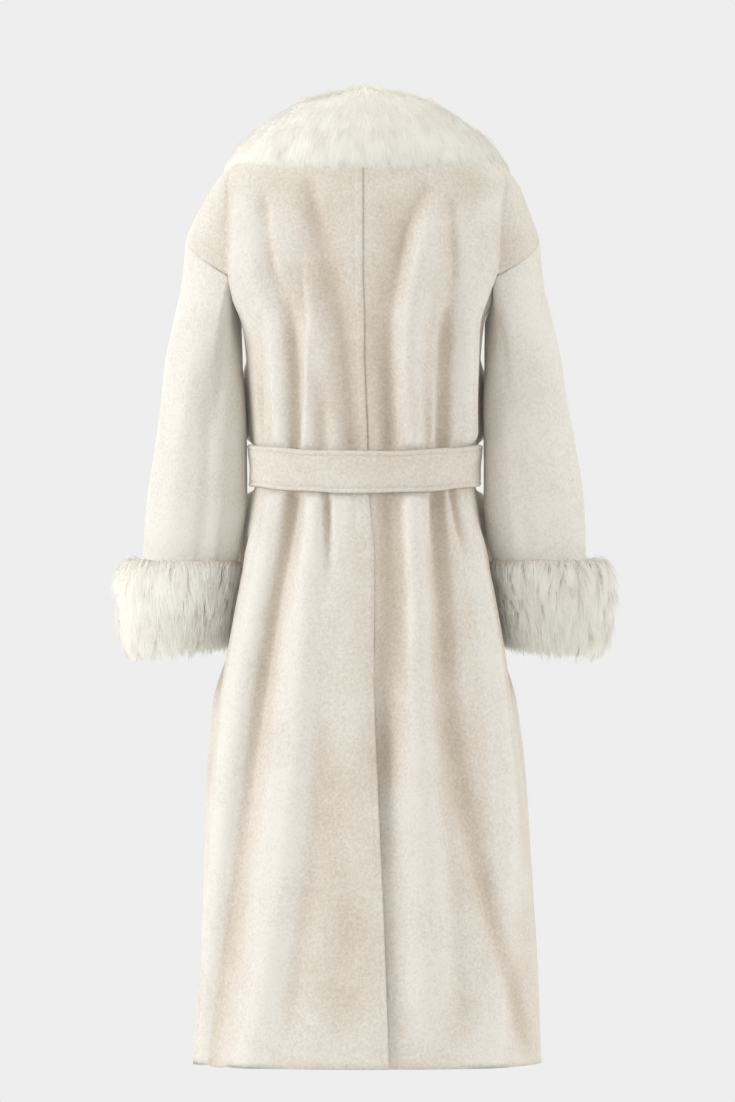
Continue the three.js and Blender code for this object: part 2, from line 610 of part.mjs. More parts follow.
// The fur cuff, a thick ring round the sleeve's end whose pile is long outside and pressed flat inside
function cuff(side) {
  const loops = [];
  for (let j = 0; j < CUFF_COLUMNS; j += 1) {
    const angle = (j / CUFF_COLUMNS) * 360;
    const across = Math.cos(angle * RAD);
    const depth = Math.sin(angle * RAD);
    const sidePile = across > 0 ? CUFF_PILE.outer : CUFF_PILE.inner;
    const depthPile = depth > 0 ? CUFF_PILE.back : CUFF_PILE.front;
    const pile = Math.hypot(sidePile * across, depthPile * depth);
    const lock = 1 + 0.05 * Math.sin(angle * 0.19) + 0.04 * Math.sin(angle * 0.43);
    const direction = new THREE.Vector3(side * across, depth, 0);
    const at = (z, off) => {
      const cloth = sleeveSection(side, angle, Math.max(z, CUFF.clothEndZ));
      cloth.z = z;
      return cloth.addScaledVector(direction, off);
    };
    const loop = CUFF_PROFILE.map(({ z, pile: share }) => at(z, FUR_CLEAR + 1 + (pile * lock - 1) * share));
    const inside = [CUFF.bottomZ + 1, CUFF.clothEndZ - 1, -632, -605, -582, CUFF.topZ - 1];
    loop.push(...inside.map((z) => at(z, FUR_CLEAR)));
    loops.push(loop);
  }
  return loft(side > 0 ? "fur_cuff_left" : "fur_cuff_right", "fur", loops, true);
}

// One station of the collar: its line on the cloth from the roll to the outer edge, and how it stands
function collarStation(lineOf, stand, bulk, clear, lowest, phase) {
  return COLLAR_SECTION.map((row) => {
    const at = lineOf(row.across);
    const ahead = lineOf(Math.min(row.across + 0.06, 1));
    const behind = lineOf(Math.max(row.across - 0.06, 0));
    const outward = ahead.point.clone().sub(behind.point).normalize();
    const lumpy = row.out > 3 ? bulk * (1 + 0.06 * Math.sin(phase + row.across * 9)) : clear;
    const off = Math.max(row.out * lumpy, lowest);
    return at.point
      .addScaledVector(at.normal, off)
      .addScaledVector(outward, -(row.inward + row.stand * stand));
  });
}

// Normal of the cloth at a place in the front view
function clothNormalAt(x, z, isBack) {
  const step = 2;
  const alongX = clothAt(x + step, z, isBack).sub(clothAt(x - step, z, isBack));
  const alongZ = clothAt(x, z + step, isBack).sub(clothAt(x, z - step, isBack));
  return alongZ.cross(alongX).normalize().multiplyScalar(isBack ? 1 : -1);
}

function collar() {
  const shoulderNormal = (side) => new THREE.Vector3(side * SHOULDER_NORMAL.across, 0, SHOULDER_NORMAL.up);
  const lapel = (side, k) => {
    const innerZ = mix(NECK_Z, COLLAR_INNER_END_Z, k);
    const outerZ = mix(LAPEL_EDGE[0].z, LAPEL_EDGE.at(-1).z, k);
    const ownEdge = side > 0 ? frontEdge.left(innerZ) : frontEdge.right(innerZ);
    const beside = frontEdge.right(innerZ) + 2 * COLLAR_STAND.lapel + 3;
    const innerX = side > 0 ? Math.max(ownEdge, beside) : ownEdge;
    const outerX = body.centre(outerZ) + side * lapelEdge(outerZ);
    return (across) => {
      const x = mix(innerX, outerX, across);
      const z = mix(innerZ, outerZ, across);
      return { point: clothAt(x, z, false), normal: clothNormalAt(x, z, false) };
    };
  };
  // Over the back and the shoulder: w is 0 at the centre back and 2 on the shoulder line
  const yoke = (side, w, isBack) => (across) => {
    const outerZ = isBack ? COLLAR_OUTER_Z.shoulder - 4 * (1 - w / 2)
      : mix(COLLAR_OUTER_Z.chest, COLLAR_OUTER_Z.shoulder, w - 1);
    const z = mix(NECK_Z, outerZ, across);
    const start = isBack ? 0 : side * 179;
    const pointOf = (a, h) => clothPoint(side, isBack, start, a, h);
    const flip = isBack ? side : -side;
    const steady = Math.min(Math.max(w, 0.01), 1.94);
    const normal = normalOf(pointOf, steady, z, 0.01, 2).multiplyScalar(flip);
    const share = ease((w - 1.4) / 0.6);
    return { point: pointOf(w, z), normal: normal.lerp(shoulderNormal(side), share).normalize() };
  };
  const half = (side) => {
    const loops = [];
    for (let i = 0; i <= YOKE_STEPS.back; i += 1) {
      const line = yoke(side, (2 * i) / YOKE_STEPS.back, true);
      const phase = i * 1.7 * side;
      loops.push(collarStation(line, COLLAR_STAND.nape, 1, COLLAR_CLEAR.nape, COLLAR_LOWEST.nape, phase));
    }
    for (let i = YOKE_STEPS.front - 1; i >= 0; i -= 1) {
      const line = yoke(side, 1 + i / YOKE_STEPS.front, false);
      const stand = mix(COLLAR_STAND.lapel * 2, COLLAR_STAND.nape, ease(i / YOKE_STEPS.front));
      const lowest = mix(COLLAR_LOWEST.shoulder, COLLAR_LOWEST.nape, ease((i - 1) / 2));
      loops.push(collarStation(line, stand, 1, COLLAR_CLEAR.shoulder, lowest, i * 1.3));
    }
    for (let i = 1; i <= YOKE_STEPS.lapel; i += 1) {
      const k = (i / YOKE_STEPS.lapel) ** 1.15;
      const stand = COLLAR_STAND.lapel * (2 - ease(k * 5));
      const clear = mix(COLLAR_CLEAR.lapelTop, COLLAR_CLEAR.lapelEnd, ease(k * 3));
      const bulk = 1 - LAPEL_THINNING * k;
      loops.push(collarStation(lapel(side, k), stand, bulk, clear, clear, i * (2.2 + 0.1 * side)));
    }
    return loops;
  };
  const left = half(1).reverse();
  const right = half(-1).slice(1);
  return loft("fur_collar", "fur", [...left, ...right], false);
}

// A point off the waist's smooth section, on the belt's own slanting height
function beltPoint(bearing, height, off) {
  const z = beltMiddle(bearing) + height;
  return ringPoint(bearing, z).addScaledVector(ringNormal(bearing, z), off);
}

function beltBand() {
  const steps = 48;
  const half = BELT.height / 2;
  const section = [
    { height: -half, off: 1 },
    { height: 0, off: 0 },
    { height: half, off: 1 },
    { height: half, off: BELT.thick - 1 },
    { height: half - 4, off: BELT.thick },
    { height: -half + 4, off: BELT.thick },
    { height: -half, off: BELT.thick - 1 },
  ];
  const loops = [];
  for (let i = 0; i < steps; i += 1) {
    const bearing = (i / steps) * 360;
    loops.push(section.map(({ height, off }) => beltPoint(bearing, height, BELT.clear + off)));
  }
  return loft("belt_band", "wool", loops, true);
}

// A sheet laid over the front of the waist or skirt, from two offsets that depend on its place
function overlay(name, rows, columns, placeOf) {
  const outer = [];
  const inner = [];
  for (let i = 0; i <= rows; i += 1) {
    outer.push([]);
    inner.push([]);
    for (let j = 0; j <= columns; j += 1) {
      const { x, z, low, high } = placeOf(i / rows, j / columns);
      const bearing = bearingOf(x, z, false);
      const normal = ringNormal(bearing, z);
      outer[i].push(ringPoint(bearing, z).addScaledVector(normal, high));
      inner[i].push(ringPoint(bearing, z).addScaledVector(normal, low));
    }
  }
  return wall(name, "wool", outer, inner);
}

function beltKnot() {
  const base = BELT.clear + BELT.thick + 0.5;
  return overlay("belt_knot", 10, 10, (down, across) => {
    const u = across * 2 - 1;
    const v = down * 2 - 1;
    const round = Math.sqrt(Math.max(0, 1 - 0.9 * Math.max(u ** 4, v ** 4)));
    const groove = 5 * Math.exp(-(((u + v * 0.5) / 0.16) ** 2)) * round;
    return {
      x: KNOT.x + (KNOT.width / 2) * u * (1 - 0.12 * v * v),
      z: BELT.centreZ - (KNOT.height / 2) * v * (1 - 0.1 * u * u),
      low: base + BELT_CROWN * (1 - v * v),
      high: base + BELT_CROWN + 3 + KNOT.bulge * round - groove,
    };
  });
}

function beltTail(side) {
  const length = side > 0 ? 350 : 330;
  const topX = KNOT.x + side * 16;
  const bottomX = KNOT.x + side * 40;
  return overlay(side > 0 ? "belt_tail_left" : "belt_tail_right", 12, 4, (down, across) => {
    const u = across - 0.5;
    const width = TAIL.width * mix(0.5, 1, ease(down * 1.6));
    const wave = 2.5 * Math.sin(down * 7 + side) * down;
    const cup = 2 * Math.cos(u * Math.PI) * (1 - down);
    const low = TAIL.clear + wave + cup;
    return {
      x: mix(topX, bottomX, ease(down)) + u * width,
      z: TAIL.topZ - length * down - side * u * 6 * down,
      low,
      high: low + TAIL.thick,
    };
  });
}

const coat = new THREE.Group();
for (const side of [1, -1]) {
  coat.add(backPanel(side), frontPanel(side), sleeveTube(side), cuff(side), beltTail(side));
}
coat.add(collar(), beltBand(), beltKnot());

export default coat;
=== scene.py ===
import math

import bpy
import numpy as np
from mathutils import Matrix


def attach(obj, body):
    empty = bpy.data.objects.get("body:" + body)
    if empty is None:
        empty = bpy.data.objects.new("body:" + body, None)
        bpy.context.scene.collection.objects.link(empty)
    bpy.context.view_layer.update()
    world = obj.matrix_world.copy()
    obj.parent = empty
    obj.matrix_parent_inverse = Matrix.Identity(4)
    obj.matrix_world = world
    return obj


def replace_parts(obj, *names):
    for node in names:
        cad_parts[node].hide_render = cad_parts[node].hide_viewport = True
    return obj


# A long belted wool coat with a fur shawl collar and fur cuffs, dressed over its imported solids.
# Shapes are worked out in millimetres in the frame of the solids: +Z up, the front faces -Y, +X is the
# wearer's left. A bearing is an angle round the body: 0 at the centre back, 90 at the wearer's left side.

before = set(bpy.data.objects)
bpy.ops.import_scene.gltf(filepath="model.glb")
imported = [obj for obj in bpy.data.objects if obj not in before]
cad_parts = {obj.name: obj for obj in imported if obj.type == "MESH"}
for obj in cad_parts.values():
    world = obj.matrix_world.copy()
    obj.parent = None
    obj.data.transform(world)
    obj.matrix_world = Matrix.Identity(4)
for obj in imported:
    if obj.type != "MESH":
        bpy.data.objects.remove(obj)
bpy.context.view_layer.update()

MM = 0.001
RAD = math.pi / 180

CLOTH = 2.5  # thickness of the wool
SEAM_GAP = 0.3  # between the back and the fronts
BACK_SEAM_GAP = 0.06  # the two backs are sewn edge to edge
BACK_SEAM = {"band": 1.5, "band_width": 7, "band_edge": 2.2, "groove": 0.45, "groove_width": 1.0,
             "stitch": 0.5, "stitch_at": 6.2, "stitch_width": 0.9}
BACK_SEAM_SINK = {"depth": 0.4, "width": 2.4}  # of the right back beside the left back's band
STITCH = {"depth": 0.55, "width": 1.1, "vent_at": 6.4, "front_at": 7, "sewn_fade": 20}
NECK_Z = 8
VENT_TOP_Z = -680
VENT_UNDERLAY = 14  # how far the underlay runs behind the left back, in degrees
VENT_DIP = {"top": 4, "most": 13, "hem_share": 0.55, "growth": 130, "ease_z": -850, "lead": 40, "width": 7}
WRAP_STEP = 3.4  # how far the under front lies behind the upper one
WRAP_FADE = {"start": 6, "length": 26}
ARMHOLE = {"outer_z": -150, "crease_z": -203, "underarm_z": -262}
CREASE_BEARING = 66  # where the shoulder's cloth turns from the back to the arm
SIDE_POWER = 0.87
BELT = {"centre_z": -450.5, "side_rise": 9, "height": 53, "thick": 5, "clear": 2.8}
BELT_CROWN = 2
KNOT = {"x": 10, "width": 56, "height": 62, "bulge": 22, "least": 3, "groove": 5, "groove_width": 0.16,
        "wrinkle": 0.9}
TAIL = {"width": 50, "thick": 4.5, "top_z": -482, "clear": 11, "wave": 2.5, "cup": 2, "slant": 6,
        "start": 16, "end": 40, "stitch": 0.5, "stitch_at": 6.4}
TAIL_LENGTH = {1: 350, -1: 330}
CUFF = {"top_z": -560, "bottom_z": -682, "cloth_end_z": -652}
CUFF_SHADE_Z = -640  # where the creases of the sleeve end under the cuff
PRESSED = 0.12  # share of a crest's height that is left under the belt
SLEEVE_PAINTED_LIGHT = -0.75  # painted light: the sleeves' unfolded wool is painted lighter than the body's, as a share of a deep fold
FULL_SHADE_DEPTH = 7.0  # depth below the smooth surface at which the painted shade of the folds is darkest
FOLD_DEPTH = 1.2  # of the cloth's folds, over those of the solids
VALLEY_LEFT = 0.75  # share of a valley's depth that is left under the belt
BELT_REACH = 9  # how far from the belt's edge the folds are free again
CREST_PAINTED_LIGHT = -0.8  # painted light: the most that a crest is painted lighter, as a share of a deep fold
FUR_CLEAR = 1.0  # between the pelt and the cloth under it


def table(names, rows):
    """A table with named columns."""
    return {name: np.array([row[i] for row in rows], float) for i, name in enumerate(names.split())}


SECTIONS = table("z half centre back front square seam_x", [
    (8, 70, 2, 65, 42, 0.87, 6),
    (-15, 105, 2, 82, 60, 0.87, 6),
    (-45, 150, 2, 99, 80, 0.85, 6),
    (-80, 190, 1, 110, 97, 0.8, 6),
    (-104, 187, 3, 115, 107, 0.77, 6),
    (-150, 183, 6, 121, 121, 0.74, 6),
    (-193, 180, 6, 124, 130, 0.72, 6),
    (-230, 166, 6, 123, 134, 0.74, 5),
    (-262, 153, 5.5, 121, 134, 0.78, 4),
    (-300, 149, 5, 117, 129, 0.82, 4),
    (-358, 145, 4, 107, 118, 0.85, 2),
    (-409, 143, 3, 99, 107, 0.87, 0),
    (-450, 139, 3, 96, 102, 0.87, 0),
    (-500, 145, 3, 103, 109, 0.87, -4),
    (-560, 156, 3, 114, 119, 0.87, -9),
    (-620, 168, 3, 124, 128, 0.87, -9),
    (-700, 181, 3, 134, 138, 0.87, -8),
    (-850, 198, 1, 148, 150, 0.87, -13),
    (-1000, 210, -2, 158, 159, 0.87, -20),
    (-1198, 219, -2.5, 168, 168, 0.87, -27),
])
OUTLINE = table("z half", [
    (8, 70), (-15, 105), (-45, 150), (-80, 190), (-104, 203), (-130, 215), (-155, 224), (-206, 229),
    (-256, 240), (-307, 251), (-358, 258), (-434, 270), (-485, 277), (-536, 280), (-652, 285),
])
SLEEVE_SECTIONS = table("z inner crown back front", [
    (-203, 158, 170, 61, 63),
    (-262, 158, 186, 63, 65),
    (-307, 155, 197, 60, 62),
    (-358, 151, 203, 56, 58),
    (-434, 150, 208, 51, 53),
    (-485, 149.5, 213, 48, 50),
    (-536, 155.5, 219, 46, 48),
    (-580, 164, 224, 45, 47),
    (-652, 172, 229, 45, 47),
])

# Folds: each runs from its top down to its bottom through the bearings start, middle and end, and stands off
# the section by its rise. It falls away within near degrees towards the centre back and far degrees beyond,
# and fades in and out over two lengths. The columns are top, bottom, start, middle, end, rise, near, far,
# fade_top and fade_bottom
FOLDS = [
    (-110, -440, 40, 46, 46, 6, 8, 7, 90, 10),
    (-200, -440, 26, 26, 28, 6, 8, 3.5, 100, 10),
    (-200, -440, 35, 33, 36.5, -5, 4, 4, 90, 10),
    (-300, -440, 18, 18.5, 18.5, -4, 4, 4, 80, 10),
    (-85, -440, 17, 9, 4, -5, 6, 6, 70, 10),
    (-260, -440, -11, -10, -9, -4, 4, 4, 80, 10),
    (-85, -440, -24, -19, -22, 7, 4, 8, 80, 10),
    (-200, -440, -41, -41, -39, -6, 4, 7, 90, 10),
    (-85, -440, -30, -50, -55, 5, 7, 7, 70, 10),
    (-85, -300, 58, 60, 84, 11, 14, 5, 60, 80),
    (-85, -440, -60, -61, -66, 11, 12, 5, 60, 20),
    (-462, -1198, 53, 57, 74, 10, 12, 9, 20, 0),
    (-462, -1198, 36, 46, 65, -9, 8, 5, 20, 0),
    (-462, -1198, 24, 24, 41, 9, 8, 9, 20, 0),
    (-462, -620, 17, 15, 11, -5, 3, 3, 8, 110),
    (-462, -1198, 8, 7, 16, 3, 7, 7, 20, 200),
    (-600, -1198, 12, 9, 4, -4, 6, 7, 200, 100),
    (-462, -900, -9, -8, -4, -6, 6, 5, 10, 100),
    (-462, -1198, -22, -17, -16, 8, 5, 9, 12, 100),
    (-462, -1198, -37, -32, -66, -8, 5, 7, 15, 60),
    (-462, -560, -48, -49, -50, -4, 3, 3, 8, 60),
    (-462, -1198, -56, -58, -40, 6, 9, 9, 40, 0),
    (-500, -1000, 70, 69, 70, 7, 10, 5, 60, 250),
    (-500, -1000, -74, -68, -62, 7, 10, 5, 60, 250),
    (-270, -440, 122, 124, 128, 6, 8, 8, 100, 10),
    (-300, -440, 138, 139, 140, -4, 4, 6, 80, 10),
    (-330, -440, 150, 151, 152, 4, 5, 5, 60, 10),
    (-270, -440, -119, -121, -125, 6, 8, 6, 100, 10),
    (-300, -440, -134, -136, -138, -5, 4, 5, 80, 10),
    (-340, -440, -149, -149, -150, 4, 5, 5, 60, 10),
    (-520, -760, 90, 90, 90, -15, 15, 12, 60, 110),
    (-520, -760, -90, -90, -90, -15, 13, 12, 60, 110),
    (-640, -1198, 108, 106, 104, 13, 8, 11, 100, 450),
    (-640, -1198, -108, -106, -104, 12, 8, 11, 100, 450),
    (-462, -1198, 124, 127, 132, -7, 6, 7, 20, 0),
    (-462, -1198, -126, -128, -124, -7, 6, 7, 20, 0),
    (-462, -1198, 139, 143, 148, 8, 7, 9, 20, 0),
    (-462, -1198, -141, -142, -139, 7, 7, 8, 20, 0),
    (-462, -800, 154, 153, 156, -4, 5, 5, 12, 200),
    (-462, -900, -155, -156, -154, -4, 5, 5, 12, 200),
]

# Smaller gathers at the belt and creases of the cloth, in the same columns
CREASES = [
    (-72, -175, 20.5, 16, 11.5, -5, 3, 5, 25, 50),
    (-95, -250, 40, 36.5, 33, -5.5, 3, 5, 25, 70),
    (-78, -220, -21, -16, -10.5, -5, 3, 5, 25, 60),
    (-95, -250, -31, -36.5, -38.7, -5.5, 4, 3, 25, 70),
    (-140, -458, 20, 27, 35.5, -6, 1.8, 8, 120, 2),
    (-91, -458, -17.5, -10.5, -16, -5.5, 9, 1.8, 70, 2),
    (-200, -458, -37, -37, -35.5, -6.5, 1.8, 8, 110, 2),
    (-300, -458, 60, 61, 62.5, -5, 1.8, 6, 60, 2),
    (-150, -458, 10, 6, 3.6, -3.5, 4, 3, 120, 2),
    (-444, -1000, 34.6, 42, 49, -5, 1.8, 8, 2, 300),
    (-444, -760, -15, -14.6, -12, -6, 9, 1.8, 2, 140),
    (-444, -760, -34.6, -31, -31, -6.5, 1.8, 7, 2, 160),
    (-444, -640, 16.5, 15, 14, -4.5, 1.8, 3.4, 2, 120),
    (-444, -600, -48, -50, -53, -4.5, 2, 4, 2, 90),
    (-444, -600, 56, 58, 60, -4, 2, 5, 2, 90),
    (-330, -436, 31, 30, 29, 2.6, 1.6, 2.6, 70, 6),
    (-250, -436, 22.5, 22, 22.5, -2.4, 3, 2, 80, 6),
    (-360, -436, 13, 13, 12.5, 2.2, 2, 2.4, 50, 6),
    (-370, -436, 7, 6.5, 6, -2, 1.6, 1.6, 40, 6),
    (-340, -436, -5, -5, -5.5, 1.8, 1.8, 2, 60, 6),
    (-300, -436, -15, -14.5, -14, 2.4, 2.4, 2.2, 90, 6),
    (-300, -436, -27, -28, -29, -3, 3, 2.6, 90, 6),
    (-330, -436, -34, -34, -33.5, 3, 2.6, 2, 70, 6),
    (-300, -436, -47, -47, -46, 2.6, 2.2, 3, 90, 6),
    (-350, -436, 52, 53, 54, -3, 3, 2, 60, 6),
    (-340, -436, 60, 60, 60, 2.6, 3, 3, 60, 6),
    (-464, -600, 43, 42, 42, 3, 2.2, 3, 6, 90),
    (-464, -640, 30, 30, 30, -3, 2.4, 2.4, 6, 110),
    (-464, -560, 21, 20, 19, 2.4, 1.6, 2, 6, 60),
    (-464, -540, 13, 12.5, 12, 2, 1.4, 1.8, 6, 50),
    (-464, -560, 4, 3.5, 3, -1.8, 1.4, 1.6, 6, 60),
    (-464, -620, -13, -12.5, -12, 2.2, 1.6, 2, 6, 100),
    (-464, -560, -27, -26, -26, -2.6, 1.8, 2, 6, 60),
    (-464, -640, -31, -30, -30, 3, 2, 2.6, 6, 110),
    (-464, -580, -43, -42, -41, 2.8, 2, 2.4, 6, 80),
    (-464, -560, -60, -60, -60, -3, 2.4, 2.4, 6, 60),
    (-464, -560, 62, 62, 62, -3, 2.4, 2.4, 6, 60),
    (-130, -400, 30, 20, 14, 1.6, 5, 7, 90, 120),
    (-130, -400, -10, -16, -20, 1.6, 5, 7, 90, 120),
    (-540, -1198, 33, 34, 52, 2.4, 3, 5, 120, 100),
    (-560, -1198, -10, -11, -12, 2.2, 4, 3, 120, 300),
    (-600, -1198, -27, -26, -30, -3, 4, 4, 120, 100),
    (-600, -1198, 18, 17, 26, -3, 4, 4, 120, 100),
    (-340, -436, 132, 133, 134, 2.6, 2.4, 2.4, 60, 6),
    (-340, -436, -130, -131, -132, 2.6, 2.4, 2.4, 60, 6),
]
for top, bottom, start, end, *form in (
    (-290, -440, 102, 102, 14, 7, 9, 50, 2),
    (-462, -620, 103, 103, 14, 7, 9, 2, 70),
    (-300, -436, 112, 114, -3, 3, 3, 80, 6),
    (-464, -600, 118, 118, 2.8, 2.4, 2.4, 6, 90),
    (-464, -600, 134, 134, -2.8, 2.4, 2.4, 6, 90),
):
    for side in (1, -1):
        CREASES.append((top, bottom, side * start, side * start, side * end, *form))

FRONT_EDGES = table("z right left", [(8, -58, 60), (-60, -54, 56), (-424, 30, -26), (-1198, 50, -44)])
LAPEL_EDGE = table("z half", [
    (-90, 169), (-130, 160), (-200, 146), (-280, 124), (-350, 96), (-396, 68), (-410, 52),
])
COLLAR_INNER_END_Z = -398
COLLAR_OUTER_Z = {"shoulder": -56, "chest": -84}
LAPEL_STAND = 9
# How high the collar's roll stands, from the nape (0) over the shoulder line (1) to the lapel (1.5 and on)
COLLAR_STAND = table("station height", [(0, 27), (0.25, 18), (0.5, 7), (1, 3), (1.5, 13), (1.7, LAPEL_STAND)])
# How much of the pile's height the pelt has along the same way
COLLAR_BULK = table("station share", [(0, 1), (0.5, 0.64), (1, 0.6), (1.5, 1), (2.5, 0.75)])
COLLAR_LOWEST = {"back": -6.0, "shoulder": 3.0, "lapel": 5.0}
COLLAR_PAD_CLEAR = {"back": 1.2, "lapel": 5.6}
CUFF_PROFILE = table("z pile", [
    (-560, 0.12), (-566, 0.5), (-582, 0.84), (-604, 1), (-630, 1), (-654, 0.9), (-674, 0.62), (-682, 0.3),
])
CUFF_PILE = {"outer": 38, "inner": 3, "back": 24, "front": 22, "hair": 42, "last_root": 0.86}


def mix(a, b, t):
    return a + (b - a) * t


def ease(t):
    t = np.clip(t, 0, 1)
    return t * t * (3 - 2 * t)


def unit(v):
    return v / np.maximum(np.linalg.norm(v, axis=-1, keepdims=True), 1e-12)


def points(x, y, z):
    return np.stack(np.broadcast_arrays(x, y, z), axis=-1).astype(float)


def column(rows, name):
    """One column of a table as a smooth function of height, with no overshoot between its rows."""
    z, v = rows["z"], rows[name]
    slope = np.diff(v) / np.diff(z)
    before = np.concatenate([slope[:1], slope])
    after = np.concatenate([slope, slope[-1:]])
    product = before * after
    tangent = np.where(product > 0, 2 * product / np.where(before + after == 0, 1, before + after), 0)

    def at(height):
        height = np.asarray(height, float)
        i = np.clip(np.searchsorted(-z[1:], -height, side="left"), 0, len(slope) - 1)
        span = z[i + 1] - z[i]
        t = np.clip((height - z[i]) / span, 0, 1)
        return (v[i] * (1 + 2 * t) * (1 - t) ** 2 + v[i + 1] * t * t * (3 - 2 * t)
                + tangent[i] * span * t * (1 - t) ** 2 - tangent[i + 1] * span * t * t * (1 - t))

    return at


body = {name: column(SECTIONS, name) for name in ("half", "centre", "back", "front", "square", "seam_x")}
outline = column(OUTLINE, "half")
sleeve = {name: column(SLEEVE_SECTIONS, name) for name in ("inner", "crown", "back", "front")}
front_edge = {"right": column(FRONT_EDGES, "right"), "left": column(FRONT_EDGES, "left")}
lapel_edge = column(LAPEL_EDGE, "half")
cuff_profile = column(CUFF_PROFILE, "pile")


def signed_power(v, power):
    return np.sign(v) * np.abs(v) ** power


def ring_point(bearing, z):
    """The smooth section without folds."""
    across, along = np.sin(bearing * RAD), np.cos(bearing * RAD)
    depth = np.where(along > 0, body["back"](z), body["front"](z))
    x = body["centre"](z) + body["half"](z) * signed_power(across, SIDE_POWER)
    return points(x, depth * signed_power(along, body["square"](z)), z)


def ring_normal(bearing, z):
    along = ring_point(bearing + 0.6, z) - ring_point(bearing - 0.6, z)
    return unit(points(-along[..., 1], along[..., 0], 0 * along[..., 0]))


def bearing_of(x, z, is_back):
    share = (x - body["centre"](z)) / body["half"](z)
    angle = np.arcsin(np.minimum(1, np.abs(share)) ** (1 / SIDE_POWER)) / RAD
    side = np.where(share < 0, -1, 1)
    return side * angle if is_back else side * (180 - angle)


def belt_middle(bearing):
    return BELT["centre_z"] + BELT["side_rise"] * np.sin(bearing * RAD) ** 2


def belt_freedom(bearing, z, least):
    """Share of a fold that is left near the belt, least under it."""
    past = np.abs(z - belt_middle(bearing)) - BELT["height"] / 2
    return mix(least, 1, ease((past - 2) / BELT_REACH))


def fold_sum(folds, bearing, z):
    """How far all the folds together stand off the section."""
    total = np.zeros(np.broadcast(bearing, z).shape)
    for top, bottom, start, middle, end, rise, near, far, fade_top, fade_bottom in folds:
        t = np.clip((top - z) / (top - bottom), 0, 1)
        at = start * (1 - t) * (1 - 2 * t) + 4 * middle * t * (1 - t) + end * t * (2 * t - 1)
        away = ((bearing - at + 180) % 360 - 180) * np.where(at < 0, -1, 1)
        width = np.where(away < 0, near, far)
        fade_in = ease((top - z) / max(fade_top, 1))
        fade_out = ease((z - bottom) / max(fade_bottom, 1) + (0 if fade_bottom else 1))
        inside = (z <= top + 1) & (z >= bottom - 1)
        total = total + np.where(inside, rise * np.exp(-((away / width) ** 2)) * fade_in * fade_out, 0)
    return total


def undulation(bearing, z):
    """Slow unevenness of the cloth, about a millimetre."""
    b = bearing * RAD
    return (0.6 * np.sin(3 * b + z / 97 + 1.3) + 0.5 * np.sin(7 * b - z / 61 + 0.4)
            + 0.35 * np.sin(13 * b + z / 143 + 2.2) + 0.3 * np.sin(5 * b + z / 33 + 4.0))


def relief(bearing, z):
    folds = FOLD_DEPTH * fold_sum(FOLDS, bearing, z) + fold_sum(CREASES, bearing, z) + undulation(bearing, z)
    crests = belt_freedom(bearing, z, PRESSED)
    valleys = belt_freedom(bearing, z, VALLEY_LEFT)
    return np.where(folds > 0, folds * crests, folds * valleys)


def body_point(bearing, z):
    return ring_point(bearing, z) + ring_normal(bearing, z) * relief(bearing, z)[..., None]


def arm_bearing(z):
    t = (ARMHOLE["crease_z"] - z) / (ARMHOLE["crease_z"] - ARMHOLE["underarm_z"])
    return mix(CREASE_BEARING, 90, ease(t))


def cloth_point(side, is_back, start, across, z):
    last = side * (arm_bearing(z) if is_back else 180 - arm_bearing(z))
    flat = body_point(mix(start, last, np.minimum(across, 1)), z)
    crease = body_point(last + 0 * across, z)
    outer_x = body["centre"](z) + side * outline(z)
    turn = (np.maximum(across, 1) - 1) * 90 * RAD
    arm = points(mix(crease[..., 0], outer_x, np.sin(turn)), crease[..., 1] * np.cos(turn), z)
    on_body = (across <= 1) | (z < ARMHOLE["crease_z"] - 2)
    past = body_point(mix(start, last, across), z)
    return np.where(on_body[..., None], np.where((across <= 1)[..., None], flat, past), arm)


def cloth_at(x, z, is_back):
    """The cloth over the chest or the back at a place in the front view, the arm included."""
    side = np.where(x < body["centre"](z), -1, 1)
    last = side * (arm_bearing(z) if is_back else 180 - arm_bearing(z))
    crease = body_point(last, z)
    on_body = body_point(bearing_of(x, z, is_back), z)
    outer_x = body["centre"](z) + side * outline(z)
    share = np.clip((x - crease[..., 0]) / (outer_x - crease[..., 0]), 0, 1)
    arm = points(mix(crease[..., 0], outer_x, share), crease[..., 1] * np.sqrt(1 - share * share), z)
    return np.where((side * (x - crease[..., 0]) <= 0)[..., None], on_body, arm)


def normal_of(surface, u, v, step_u, step_v):
    along_u = surface(u + step_u, v) - surface(u - step_u, v)
    along_v = surface(u, v + step_v) - surface(u, v - step_v)
    return unit(np.cross(along_v, along_u))


def signed_volume(verts, faces):
    total = 0.0
    for face in faces:
        a = verts[face[:, 0]]
        for k in range(1, face.shape[1] - 1):
            total += np.einsum("ij,ij->i", a, np.cross(verts[face[:, k]], verts[face[:, k + 1]])).sum()
    return total / 6


